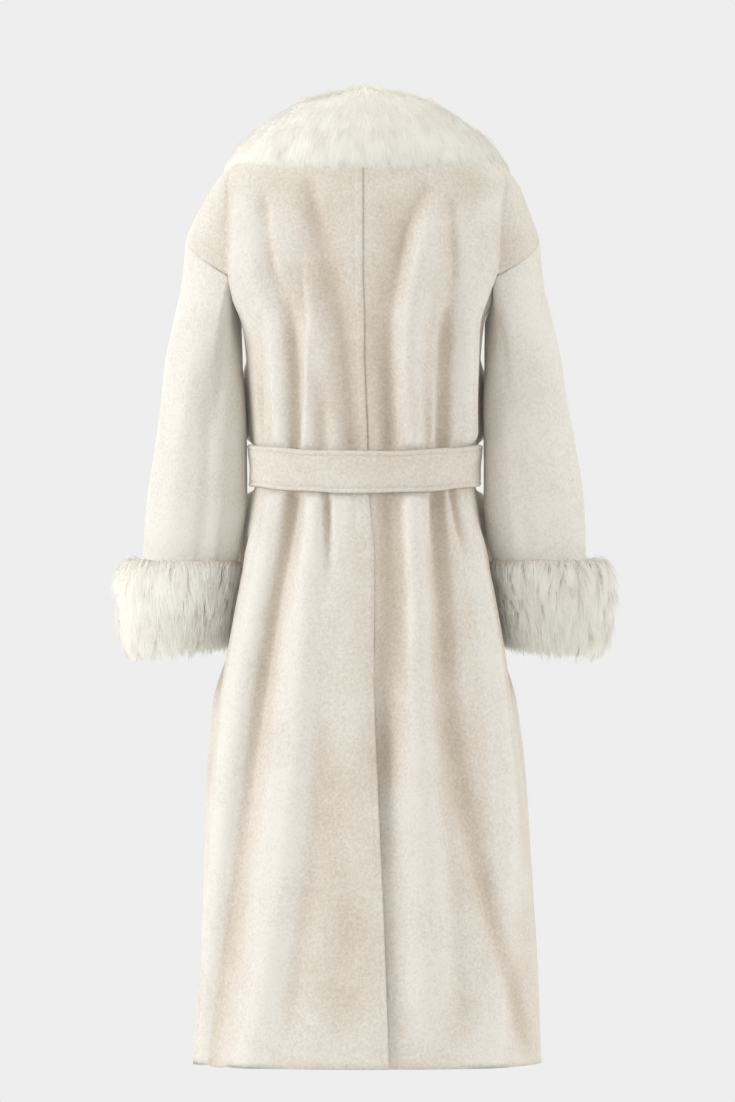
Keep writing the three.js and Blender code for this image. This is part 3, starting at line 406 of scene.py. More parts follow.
def wall(outer, inner, valid=None):
    """Points and faces of a closed wall between two grids; points that fall together are one."""
    rows, cols = outer.shape[:2]
    if valid is None:
        valid = np.ones((rows, cols), bool)
    index = np.arange(rows * cols).reshape(rows, cols)
    ok = valid[:-1, :-1] & valid[:-1, 1:] & valid[1:, 1:] & valid[1:, :-1]
    quads = np.stack([index[:-1, :-1], index[:-1, 1:], index[1:, 1:], index[1:, :-1]], -1)[ok]
    flat = np.where(valid[..., None], outer, 0).reshape(-1, 3)
    _, first, inverse = np.unique(np.round(flat, 3), axis=0, return_index=True, return_inverse=True)
    quads = first[inverse.ravel()][quads]
    same = quads == np.roll(quads, -1, axis=1)
    whole = quads[same.sum(1) == 0]
    ends = quads[same.sum(1) == 1]
    keep = ~same[same.sum(1) == 1]
    triangles = ends[keep].reshape(-1, 3)
    sides = [np.stack([f, np.roll(f, -1, axis=1)], -1).reshape(-1, 2) for f in (whole, triangles)]
    edges = np.concatenate(sides)
    count = rows * cols
    code, back = edges[:, 0] * count + edges[:, 1], edges[:, 1] * count + edges[:, 0]
    border = edges[~np.isin(back, code)]
    verts = np.concatenate([flat, np.where(valid[..., None], inner, 0).reshape(-1, 3)])
    a, b = border[:, 0], border[:, 1]
    rim = np.stack([b, a, a + count, b + count], 1)
    return verts, [whole, triangles, whole[:, ::-1] + count, triangles[:, ::-1] + count, rim]


def ring_faces(count, size, closed):
    """Quads of a tube through count loops of size points; closed joins the last loop to the first."""
    i = np.arange(count if closed else count - 1)
    j = np.arange(size)
    a, b = np.meshgrid(i, j, indexing="ij")
    nxt, right = (a + 1) % count, (b + 1) % size
    return np.stack([a * size + b, nxt * size + b, nxt * size + right, a * size + right], -1).reshape(-1, 4)


def make_mesh(name, verts, faces, material, orient=True):
    """A mesh object in metres from points in millimetres and arrays of faces, turned outwards."""
    faces = [np.asarray(f, np.int64) for f in faces if len(f)]
    if orient and signed_volume(verts, faces) < 0:
        faces = [f[:, ::-1] for f in faces]
    used = np.unique(np.concatenate([f.ravel() for f in faces]))
    renumber = np.full(len(verts), -1, np.int64)
    renumber[used] = np.arange(len(used))
    verts = verts[used] * MM
    sizes = np.concatenate([np.full(len(f), f.shape[1]) for f in faces])
    corners = np.concatenate([renumber[f].ravel() for f in faces])
    mesh = bpy.data.meshes.new(name)
    mesh.vertices.add(len(verts))
    mesh.vertices.foreach_set("co", verts.astype(np.float32).ravel())
    mesh.loops.add(len(corners))
    mesh.loops.foreach_set("vertex_index", corners.astype(np.int32))
    mesh.polygons.add(len(sizes))
    mesh.polygons.foreach_set("loop_start", np.concatenate([[0], np.cumsum(sizes)[:-1]]).astype(np.int32))
    mesh.polygons.foreach_set("loop_total", sizes.astype(np.int32))
    mesh.polygons.foreach_set("use_smooth", np.ones(len(sizes), bool))
    mesh.update(calc_edges=True)
    mesh.validate()
    mesh.materials.append(material)
    obj = bpy.data.objects.new(name, mesh)
    bpy.context.scene.collection.objects.link(obj)
    return obj


def set_values(obj, name, values):
    """A value for each vertex that the materials read."""
    attribute = obj.data.attributes.new(name, "FLOAT", "POINT")
    attribute.data.foreach_set("value", values.astype(np.float32))


def dress(obj, slot, *nodes):
    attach(obj, "root")
    if nodes:
        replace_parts(obj, *nodes)
    return obj


def new_material(name):
    material = bpy.data.materials.new(name)
    material.use_nodes = True
    tree = material.node_tree
    return material, tree.nodes, tree.links, tree.nodes["Principled BSDF"]


def noise(nodes, links, vector, scale, detail, rough=0.5):
    node = nodes.new("ShaderNodeTexNoise")
    node.inputs["Scale"].default_value = scale
    node.inputs["Detail"].default_value = detail
    node.inputs["Roughness"].default_value = rough
    links.new(vector, node.inputs["Vector"])
    return node.outputs["Fac"]


def stretched(nodes, links, vector, scale):
    node = nodes.new("ShaderNodeMapping")
    node.inputs["Scale"].default_value = scale
    links.new(vector, node.inputs["Vector"])
    return node.outputs["Vector"]


def math_node(nodes, links, operation, a, b):
    node = nodes.new("ShaderNodeMath")
    node.operation = operation
    for socket, value in zip(node.inputs, (a, b)):
        if isinstance(value, (int, float)):
            socket.default_value = value
        else:
            links.new(value, socket)
    return node.outputs[0]


def weighted_sum(nodes, links, *parts):
    total = None
    for value, weight in parts:
        part = math_node(nodes, links, "MULTIPLY", value, weight)
        total = part if total is None else math_node(nodes, links, "ADD", total, part)
    return total


def ramp(nodes, links, fac, stops):
    node = nodes.new("ShaderNodeValToRGB")
    links.new(fac, node.inputs["Fac"])
    elements = node.color_ramp.elements
    while len(elements) < len(stops):
        elements.new(0.5)
    for element, (position, colour) in zip(elements, stops):
        element.position = position
        element.color = (*colour, 1)
    return node.outputs["Color"]


def wool_material(name):
    """Brushed wool: a short nap that lies downwards, a faint cloudiness and a soft sheen, with painted shade,
    warmer and darker, in the hollows of the folds and painted light on their crests and on the sleeves."""
    material, nodes, links, shader = new_material(name)
    place = nodes.new("ShaderNodeTexCoord").outputs["Object"]
    cloud = noise(nodes, links, place, 14, 3)
    nap = noise(nodes, links, stretched(nodes, links, place, (1, 1, 0.35)), 900, 3, 0.6)
    pile = noise(nodes, links, place, 260, 4, 0.6)
    painted_light_and_shade = nodes.new("ShaderNodeAttribute")
    painted_light_and_shade.attribute_name = "painted_light_and_shade"
    tone_and_painted_shade = weighted_sum(nodes, links, (cloud, 0.35), (pile, 0.65), (painted_light_and_shade.outputs["Fac"], -0.17))
    # The low, tan end of this ramp is painted shade, reached in the hollows of the folds.
    colour = ramp(nodes, links, tone_and_painted_shade, [
        (0.16, (0.585, 0.495, 0.4)), (0.36, (0.68, 0.62, 0.535)), (0.5, (0.75, 0.71, 0.64)),
        (0.66, (0.825, 0.815, 0.77)),
    ])
    links.new(colour, shader.inputs["Base Color"])
    height = weighted_sum(nodes, links, (nap, 0.6), (pile, 0.8))
    bump = nodes.new("ShaderNodeBump")
    bump.inputs["Strength"].default_value = 1.0
    bump.inputs["Distance"].default_value = 0.0012
    links.new(height, bump.inputs["Height"])
    links.new(bump.outputs["Normal"], shader.inputs["Normal"])
    shader.inputs["Roughness"].default_value = 0.92
    shader.inputs["Specular IOR Level"].default_value = 0.15
    shader.inputs["Sheen Weight"].default_value = 0.25
    shader.inputs["Sheen Roughness"].default_value = 0.6
    shader.inputs["Sheen Tint"].default_value = (1, 0.98, 0.94, 1)
    return material


def fur_material(name, root, middle, tip):
    """Fur: painted shade at the roots, which are darker and warmer than the tips, with lighter and darker
    locks.
    """
    material, nodes, links, shader = new_material(name)
    attribute = nodes.new("ShaderNodeAttribute")
    attribute.attribute_name = "tone_and_root_shade"
    place = nodes.new("ShaderNodeTexCoord").outputs["Object"]
    cloud = noise(nodes, links, place, 40, 2)
    spread = math_node(nodes, links, "MULTIPLY", math_node(nodes, links, "SUBTRACT", cloud, 0.5), 0.5)
    tone_and_root_shade = math_node(nodes, links, "ADD", attribute.outputs["Fac"], spread)
    colour = ramp(nodes, links, tone_and_root_shade, [(0.0, root), (0.45, middle), (0.9, tip)])
    links.new(colour, shader.inputs["Base Color"])
    shader.inputs["Roughness"].default_value = 0.7
    shader.inputs["Specular IOR Level"].default_value = 0.25
    shader.inputs["Sheen Weight"].default_value = 0.3
    shader.inputs["Sheen Roughness"].default_value = 0.5
    return material


WOOL = wool_material("ivory_wool")
# The fur's root colour is painted shade, standing in for the shadow deep in the pile, which the hairs don't
# cast.
FUR = fur_material("ivory_fur", (0.56, 0.5, 0.42), (0.73, 0.71, 0.65), (0.83, 0.83, 0.79))
PELT = fur_material("fur_ground", (0.7, 0.66, 0.58), (0.75, 0.72, 0.65), (0.78, 0.76, 0.7))


def keep_side(p, is_back):
    """Keeps the back behind the side seams and the fronts before them."""
    limit = SEAM_GAP / 2
    p[..., 1] = np.maximum(p[..., 1], limit) if is_back else np.minimum(p[..., 1], -limit)
    return p


def rows_of(*stretches):
    """Heights from stretches of (from, to, step), each with its ends."""
    heights = []
    for start, end, step in stretches:
        count = max(1, round((start - end) / step))
        heights.extend(np.linspace(start, end, count + 1)[:-1])
    return np.array([*heights, stretches[-1][1]])


ROWS = rows_of((8, -150, 6), (-150, -203, 5.3), (-203, -262, 6), (-262, -415, 7), (-415, -500, 3.4),
               (-500, -680, 7), (-680, -1198, 9.5))
EDGE_COLUMNS = np.arange(14) * 0.0046  # close together beside the seam, for its band and stitches
PANEL_COLUMNS = np.concatenate([EDGE_COLUMNS, np.linspace(14 * 0.0046, 1, 76)])
ARM_COLUMNS = 1 + np.linspace(0, 1, 17)[1:]
UNDERLAY_COLUMNS = np.linspace(-1, 0, 11)[:-1]


def vent_dip(bearing, seam, z):
    """How far the right back lies behind the left one at the vent."""
    opening = ease((VENT_TOP_Z - z) / VENT_DIP["growth"])
    closing = ease((VENT_DIP["ease_z"] - z) / VENT_DIP["growth"])
    depth = mix(VENT_DIP["top"], VENT_DIP["most"], opening) * mix(1, VENT_DIP["hem_share"], closing)
    fade_in = ease((VENT_TOP_Z + VENT_DIP["lead"] - z) / VENT_DIP["lead"])
    past = seam - bearing
    return depth * fade_in * np.where(past > 0, np.exp(-((past / VENT_DIP["width"]) ** 2)), 1)


def seam_ridge(distance, above):
    """A pressed band beside a seam, with the seam's groove on one side and a stitch line on the other."""
    seam = BACK_SEAM
    band = seam["band"] * (1 - ease((distance - seam["band_width"]) / seam["band_edge"]))
    groove = seam["groove"] * np.exp(-((distance / seam["groove_width"]) ** 2))
    stitches = seam["stitch"] * np.exp(-(((distance - seam["stitch_at"]) / seam["stitch_width"]) ** 2))
    return (band - groove - stitches) * above


def stitch_groove(distance, at, above):
    return -STITCH["depth"] * np.exp(-(((distance - at) / STITCH["width"]) ** 2)) * above


def back_point(side, u, z):
    """A back's outside: u is 0 at the centre seam, 1 at the side or armhole, -1 at the underlay's edge."""
    seam_x = body["seam_x"](z)
    seam = bearing_of(seam_x, z, True)
    inner = np.clip(u, 0, 1)
    bearing = np.where(u < 0, seam - u * VENT_UNDERLAY, mix(seam, side * arm_bearing(z), inner))
    over = cloth_point(side, True, seam, np.maximum(u, 0), z)
    p = np.where((u < 0)[..., None], body_point(bearing, z), over)
    push = np.zeros(p.shape[:-1])
    if side < 0:
        push = push - np.where(u <= 1, vent_dip(bearing, seam, z), 0)
    distance = np.abs(p[..., 0] - seam_x)
    sewn = ease((z - VENT_TOP_Z) / STITCH["sewn_fade"])
    if side > 0:
        push = push + seam_ridge(distance, sewn) + stitch_groove(distance, STITCH["vent_at"], 1 - sewn)
    else:
        sink = BACK_SEAM_SINK["depth"] * np.exp(-((distance / BACK_SEAM_SINK["width"]) ** 2))
        push = push - np.where(u >= 0, sink * sewn, 0)
    p = p + ring_normal(bearing, z) * push[..., None]
    p[..., 0] += np.where(u < 0.02, side * BACK_SEAM_GAP / 2, 0)
    return p


def wrap_step(x, z):
    return WRAP_STEP * (1 - ease((x - front_edge["right"](z) - WRAP_FADE["start"]) / WRAP_FADE["length"]))


def front_point(side, u, z):
    """A front's outside: u is 0 at the front edge and 1 at the side or armhole."""
    edge = front_edge["left" if side > 0 else "right"](z)
    last = side * (180 - arm_bearing(z))
    start = bearing_of(edge, z, False)
    start = np.where(side * start < 0, start + side * 360, start)
    start = np.maximum(start, last + 2) if side > 0 else np.minimum(start, last - 2)
    p = cloth_point(side, False, start, u, z)
    bearing = mix(start, last, np.minimum(u, 1))
    distance = np.abs(p[..., 0] - edge)
    push = np.where(u <= 1, stitch_groove(distance, STITCH["front_at"], 1), 0)
    if side > 0:
        push = push - np.where(u <= 1, wrap_step(p[..., 0], z), 0)
    return p + ring_normal(bearing, z) * push[..., None]


def panel(name, side, is_back):
    columns = np.concatenate([PANEL_COLUMNS, ARM_COLUMNS])
    if is_back and side < 0:
        columns = np.concatenate([UNDERLAY_COLUMNS, columns])
    u, z = np.meshgrid(columns, ROWS)
    valid = np.where(u < 0, z <= VENT_TOP_Z + 0.01, np.where(u > 1, z >= ARMHOLE["crease_z"] - 0.01, True))
    slanted = mix(z, ARMHOLE["outer_z"], np.clip(u - 1, 0, 1))
    height = np.where((u > 1) & (z < ARMHOLE["outer_z"]), slanted, z)
    flip = side if is_back else -side

    def surface(a, h):
        return back_point(side, a, h) if is_back else front_point(side, a, h)

    outer = surface(u, height)
    normal = normal_of(surface, u, height, 0.004, 1.5) * flip
    inner = keep_side(outer - normal * CLOTH, is_back)
    outer = keep_side(outer, is_back)
    verts, faces = wall(outer, inner, valid)
    obj = make_mesh(name + "_cloth", verts, faces, WOOL)
    spots = np.empty(len(obj.data.vertices) * 3, np.float32)
    obj.data.vertices.foreach_get("co", spots)
    x, _, z = (spots.reshape(-1, 3) / MM).T
    # Painted shade and light: the wool is painted darker and warmer in the valleys of the folds and lighter on
    # the crests.
    set_values(obj, "painted_light_and_shade", np.clip(-relief(bearing_of(x, z, is_back), z) / FULL_SHADE_DEPTH, CREST_PAINTED_LIGHT, 1))
    return dress(obj, "wool", name)


def armhole_point(side, angle):
    """The armhole's edge; the angle is 0 at the top of the arm, 90 at the back and 270 at the front."""
    turn = np.where(angle <= 180, angle, 360 - angle)
    parts = []
    for is_back in (True, False):
        across = 2 - np.minimum(turn, 90) / 90
        height = mix(ARMHOLE["crease_z"], ARMHOLE["outer_z"], across - 1)
        upper = cloth_point(side, is_back, 0 * across, across, height)
        z = mix(ARMHOLE["crease_z"], ARMHOLE["underarm_z"], (np.maximum(turn, 90) - 90) / 90)
        lower = body_point(side * (arm_bearing(z) if is_back else 180 - arm_bearing(z)), z)
        parts.append(np.where((turn <= 90)[..., None], upper, lower))
    return np.where((angle <= 180)[..., None], parts[0], parts[1])


# Creases of the sleeves: from one height and turn to another, how far they rise, how wide they are in degrees
# and the length over which they fade
SLEEVE_FOLDS = table("z_top z_bottom turn_top turn_bottom rise width fade", [
    (-230, -420, 120, 108, -4, 9, 60),
    (-260, -560, 70, 62, 3, 14, 90),
    (-300, -600, 96, 104, -3, 8, 90),
    (-380, -600, 130, 128, 3, 10, 80),
    (-230, -420, 240, 252, -4, 9, 60),
    (-260, -560, 292, 300, 3, 14, 90),
    (-320, -600, 266, 258, -3, 8, 90),
])


def sleeve_relief(side, angle, z):
    total = 0.5 * np.sin(angle * RAD * 3 + z / 47 + side) + 0.4 * np.sin(angle * RAD * 5 - z / 29 + 2 * side)
    rows = zip(*SLEEVE_FOLDS.values())
    for z_top, z_bottom, turn_top, turn_bottom, rise, width, fade in rows:
        t = np.clip((z_top - z) / (z_top - z_bottom), 0, 1)
        away = angle - mix(turn_top, turn_bottom, t)
        faded = ease((z_top - z) / fade) * ease((z - z_bottom) / fade)
        total = total + rise * np.exp(-((away / width) ** 2)) * faded
    return total


def sleeve_section(side, angle, z):
    across, depth = np.cos(angle * RAD), np.sin(angle * RAD)
    crown = sleeve["crown"](z)
    reach = np.where(across > 0, outline(z) - crown, crown - sleeve["inner"](z))
    x = body["centre"](z) + side * (crown + reach * across)
    return points(x, np.where(depth > 0, sleeve["back"](z), sleeve["front"](z)) * depth, z)


def sleeve_point(side, angle, down):
    """The sleeve's outside, from the armhole (down is 0) to its end under the cuff (1)."""
    angle = angle % 360
    down = np.clip(down, 0, 1)
    seam = armhole_point(side, angle)
    turn = np.where(angle <= 180, angle, 360 - angle)
    underarm = ease((turn - 40) / 45)
    seam[..., 0] += side * underarm * 1.2
    seam[..., 2] -= mix(0.1, 0.0, underarm)
    z = mix(seam[..., 2], CUFF["cloth_end_z"], down)
    correction = (seam - sleeve_section(side, angle, seam[..., 2])) * (1 - ease(down / 0.22))[..., None]
    away = points(side * np.cos(angle * RAD), np.sin(angle * RAD), 0 * z)
    bend = sleeve_relief(side, angle, z) * ease(down / 0.08) * ease((z - CUFF_SHADE_Z) / 60)
    bend = np.where(np.cos(angle * RAD) < -0.5, np.minimum(bend, 0), bend)
    return sleeve_section(side, angle, z) + correction + away * bend[..., None]


def sleeve_tube(name, side):
    turns = np.linspace(0, 360, 91)
    downs = np.linspace(0, 1, 76) ** 1.15
    angle, down = np.meshgrid(turns, downs)
    angle = np.where(angle == 360, 0, angle)

    def surface(a, d):
        return sleeve_point(side, a, d)

    outer = surface(angle, down)
    normal = normal_of(surface, angle, np.maximum(down, 0.012), 3.6, 0.01) * side
    verts, faces = wall(outer, outer - normal * CLOTH)
    obj = make_mesh(name + "_cloth", verts, faces, WOOL)
    # Painted light: the sleeves are painted lighter than the body.
    set_values(obj, "painted_light_and_shade", np.full(len(obj.data.vertices), SLEEVE_PAINTED_LIGHT))
    return dress(obj, "wool", name)


def belt_point(bearing, height, off):
    z = belt_middle(bearing) + height
    return ring_point(bearing, z) + ring_normal(bearing, z) * np.asarray(off)[..., None]


def belt_band():
    steps = 240
    half = BELT["height"] / 2
    outside = [(half - 0.6, 3.2), (half - 1.6, 4.6), (half - 3, 5.0), (half - 5, 5.1), (half - 6.4, 4.0),
               (half - 7.8, 5.1), (half - 14, 5.2), (6, 5.1), (0, 5.0)]
    section = [(-half, 1.0), (0, 0.0), (half, 1.0), *outside, *[(-h, off) for h, off in outside[-2::-1]]]
    heights = np.array([row[0] for row in section])
    offs = np.array([row[1] for row in section])
    bearing, height = np.meshgrid(np.arange(steps) / steps * 360, heights, indexing="ij")
    off = np.broadcast_to(offs, bearing.shape).copy()
    wave = 0.5 * np.sin(bearing * RAD * 6 + 1) + 0.35 * np.sin(bearing * RAD * 11 + height / 9)
    off += np.where(offs > 2.5, wave * 0.6, 0)
    height = height + 0.5 * np.sin(bearing * RAD * 9 + 0.6) * np.sign(heights)
    verts = belt_point(bearing, height, BELT["clear"] + off).reshape(-1, 3)
    faces = ring_faces(steps, len(section), True)
    return dress(make_mesh("belt_band_cloth", verts, [faces], WOOL), "wool", "belt_band")


def overlay(name, rows, columns, place_of):
    """A cloth piece that lies over the front, from its place in the front view."""
    down, across = np.meshgrid(np.linspace(0, 1, rows + 1), np.linspace(0, 1, columns + 1), indexing="ij")
    x, z, low, high = place_of(down, across)
    bearing = bearing_of(x, z, False)
    normal = ring_normal(bearing, z)
    base = ring_point(bearing, z)
    verts, faces = wall(base + normal * high[..., None], base + normal * low[..., None])
    return dress(make_mesh(name + "_cloth", verts, faces, WOOL), "wool", name)


def knot_place(down, across):
    """The knot: its place in the front view and how far its inside and outside stand off the body."""
    base = BELT["clear"] + BELT["thick"] + 0.5
    u, v = across * 2 - 1, down * 2 - 1
    round_ = np.sqrt(np.maximum(0, 1 - 0.9 * np.maximum(u ** 4, v ** 4)))
    groove = KNOT["groove"] * np.exp(-(((u + v * 0.5) / KNOT["groove_width"]) ** 2)) * round_
    wrinkle = KNOT["wrinkle"] * np.sin(9 * u + 2 * v) * np.sin(5 * v - u) * round_
    x = KNOT["x"] + KNOT["width"] / 2 * u * (1 - 0.12 * v * v)
    z = BELT["centre_z"] - KNOT["height"] / 2 * v * (1 - 0.1 * u * u)
    high = base + BELT_CROWN + KNOT["least"] + KNOT["bulge"] * round_ - groove + wrinkle
    return x, z, base + BELT_CROWN * (1 - v * v), high


def tail_place(side):
    """A belt end, narrow at the knot; side is 1 for the wearer's left."""
    def place(down, across):
        u = across - 0.5
        width = TAIL["width"] * mix(0.5, 1, ease(down * 1.6))
        wave = TAIL["wave"] * np.sin(down * 7 + side) * down
        cup = TAIL["cup"] * np.cos(u * math.pi) * (1 - down)
        low = TAIL["clear"] + wave + cup
        edge = np.minimum(np.abs(u), 0.5) * width
        x = KNOT["x"] + side * mix(TAIL["start"], TAIL["end"], ease(down)) + u * width
        z = TAIL["top_z"] - TAIL_LENGTH[side] * down - side * u * TAIL["slant"] * down
        stitches = -TAIL["stitch"] * np.exp(-((width / 2 - edge - TAIL["stitch_at"]) ** 2))
        return x, z, low, low + TAIL["thick"] + stitches

    return place


def yoke_line(side, w, is_back, across):
    """The collar's ground over the back and the shoulder; w is 0 at the centre back and 2 on the shoulder."""
    outer_back = COLLAR_OUTER_Z["shoulder"] - 4 * (1 - w / 2)
    outer_front = mix(COLLAR_OUTER_Z["chest"], COLLAR_OUTER_Z["shoulder"], w - 1)
    z = mix(NECK_Z, outer_back if is_back else outer_front, across)
    start = 0 * w if is_back else side * 179 + 0 * w
    steady = np.clip(w, 0.01, 1.94)

    def surface(a, h):
        return cloth_point(side, is_back, start, a, h)

    normal = normal_of(surface, steady, z, 0.01, 2) * (side if is_back else -side)
    share = ease((w - 1.4) / 0.6)[..., None]
    shoulder = np.array([side * 0.55, 0, 0.835])
    return surface(w, z), unit(mix(normal, shoulder, share))


def lapel_line(side, k, across):
    """The collar's ground over the chest; k is 0 where the lapel starts and 1 at its lower end."""
    inner_z = mix(NECK_Z, COLLAR_INNER_END_Z, k)
    outer_z = mix(-90, -410, k)
    own = front_edge["left" if side > 0 else "right"](inner_z)
    beside = front_edge["right"](inner_z) + 2 * LAPEL_STAND + 3
    inner_x = np.maximum(own, beside) if side > 0 else own
    outer_x = body["centre"](outer_z) + side * lapel_edge(outer_z)
    x, z = mix(inner_x, outer_x, across), mix(inner_z, outer_z, across)
    along_x = cloth_at(x + 2, z, False) - cloth_at(x - 2, z, False)
    along_z = cloth_at(x, z + 2, False) - cloth_at(x, z - 2, False)
    return cloth_at(x, z, False), -unit(np.cross(along_z, along_x))


def collar_ground(side, s, across):
    """Ground point and normal; the station s is 0 at the nape, 1 on the shoulder line, 1.5 where the lapel
    starts and 2.5 at its end."""
    shape = np.broadcast(s, across).shape
    s, across = np.broadcast_to(s, shape), np.broadcast_to(across, shape)
    back = yoke_line(side, np.clip(s, 0, 1) * 2, True, across)
    shoulder = yoke_line(side, 2 - np.clip((s - 1) * 2, 0, 1), False, across)
    lapel = lapel_line(side, np.clip(s - 1.5, 0, 1), across)
    parts = []
    for a, b, c in zip(back, shoulder, lapel):
        parts.append(np.where((s <= 1)[..., None], a, np.where((s <= 1.5)[..., None], b, c)))
    return parts


# The pelt along its way t from inside the neck over the roll to the outer edge: share across the collar, how
# far it lies inwards, how much of the roll's height it has, and how far it stands off the cloth
PILE_WAY = table("t across inward stand out", [
    (0.0, 0.0, 4, 0.45, -3),
    (0.1, 0.0, 1, 0.80, 3),
    (0.2, 0.0, 0, 0.88, 11),
    (0.32, 0.08, 0, 0.5, 16),
    (0.5, 0.3, 0, 0.08, 18),
    (0.7, 0.58, 0, 0, 16),
    (0.86, 0.8, 0, 0, 11),
    (1.0, 0.96, 0, 0, 3),
])


def way(name, t):
    return np.interp(t, PILE_WAY["t"], PILE_WAY[name])


def collar_pile(side, s, t):
    """A point of the collar's pelt, which lies halfway up the pile."""
    across = way("across", t)
    point, normal = collar_ground(side, s, across)
    ahead, _ = collar_ground(side, s, np.minimum(across + 0.06, 1))
    behind, _ = collar_ground(side, s, np.maximum(across - 0.06, 0))
    outward = unit(ahead - behind)
    off = way("out", t) * np.interp(s, COLLAR_BULK["station"], COLLAR_BULK["share"])
    lowest = np.where(s <= 1.5, COLLAR_LOWEST["shoulder"], COLLAR_LOWEST["lapel"])
    off = np.maximum(off, np.where(s <= 1, COLLAR_LOWEST["back"], lowest))
    stand = np.interp(s, COLLAR_STAND["station"], COLLAR_STAND["height"])
    inward = way("inward", t) + way("stand", t) * stand
    return point + normal * off[..., None] - outward * inward[..., None]


def collar_pad():
    """The pelt under the pile, a closed pad."""
    steps, around = 60, 22
    loops = []
    for side in (1, -1):
        s = np.linspace(0, 2.5, steps + 1)[(0 if side > 0 else 1):]
        t = np.linspace(0, 1, around)
        grid_s, grid_t = np.meshgrid(s, t, indexing="ij")
        top = collar_pile(side, grid_s, grid_t)
        low_across = np.linspace(0.94, 0.04, 8)
        ground_s, ground_a = np.meshgrid(s, low_across, indexing="ij")
        under, normal = collar_ground(side, ground_s, ground_a)
        gap = np.where(ground_s <= 1, COLLAR_PAD_CLEAR["back"], COLLAR_PAD_CLEAR["lapel"])
        loop = np.concatenate([top, under + normal * gap[..., None]], axis=1)
        loops.append(loop[::-1] if side > 0 else loop)
    loops = np.concatenate(loops)
    count, size = loops.shape[:2]
    verts = loops.reshape(-1, 3)
    middles = np.stack([loops[0].mean(0), loops[-1].mean(0)])
    verts = np.concatenate([verts, middles])
    j = np.arange(size)
    right = (j + 1) % size
    last = (count - 1) * size
    caps = np.concatenate([
        np.stack([j, right, np.full(size, count * size)], 1),
        np.stack([last + right, last + j, np.full(size, count * size + 1)], 1),
    ])
    pad = make_mesh("fur_collar_pelt", verts, [ring_faces(count, size, False), caps], PELT)
    return dress(pad, "fur", "fur_collar")


def lock_of(u, v, cell_u, cell_v, rng):
    """For each place the number of the nearest lock's middle, and the middles, on a jittered grid."""
    base_u, base_v = np.floor(u / cell_u).astype(int), np.floor(v / cell_v).astype(int)
    low_u, low_v = base_u.min() - 1, base_v.min() - 1
    shape = (base_u.max() - low_u + 2, base_v.max() - low_v + 2)
    grid_u, grid_v = np.meshgrid(np.arange(shape[0]) + low_u, np.arange(shape[1]) + low_v, indexing="ij")
    middle_u = (grid_u + rng.uniform(0.1, 0.9, shape)) * cell_u
    middle_v = (grid_v + rng.uniform(0.1, 0.9, shape)) * cell_v
    best = np.full(u.shape, np.inf)
    chosen = np.zeros(u.shape, int)
    for du in (-1, 0, 1):
        for dv in (-1, 0, 1):
            i, j = base_u + du - low_u, base_v + dv - low_v
            distance = ((u - middle_u[i, j]) / cell_u) ** 2 + ((v - middle_v[i, j]) / cell_v) ** 2
            better = distance < best
            best = np.where(better, distance, best)
            chosen = np.where(better, i * shape[1] + j, chosen)
    return chosen, middle_u.ravel(), middle_v.ravel()


HAIR_TAPER = np.array([1.0, 0.85])  # width at the root and at the bend, before the tip


def ribbons(name, path, facing, width, tone_and_root_shade):
    """A joined mesh of tapering hairs, each with three points of its path and the tones of its root, in painted
    shade, and tip.
    """
    count = len(path)
    along = unit(np.gradient(path, axis=1))
    across = unit(np.cross(along, facing[:, None, :]))
    wide = across[:, :2] * (width[:, None] * HAIR_TAPER / 2)[..., None]
    verts = np.concatenate([
        np.stack([path[:, :2] - wide, path[:, :2] + wide], axis=2).reshape(count, 4, 3), path[:, 2:3],
    ], axis=1).reshape(-1, 3)
    base = np.arange(count)[:, None] * 5
    obj = make_mesh(name, verts, [base + [0, 1, 3, 2], base + [2, 3, 4]], FUR, orient=False)
    share = np.array([0, 0, 0.6, 0.6, 1.0])
    values = mix(tone_and_root_shade[:, :1], tone_and_root_shade[:, 1:], share[None, :]).reshape(-1)
    set_values(obj, "tone_and_root_shade", values)
    return dress(obj, "fur")


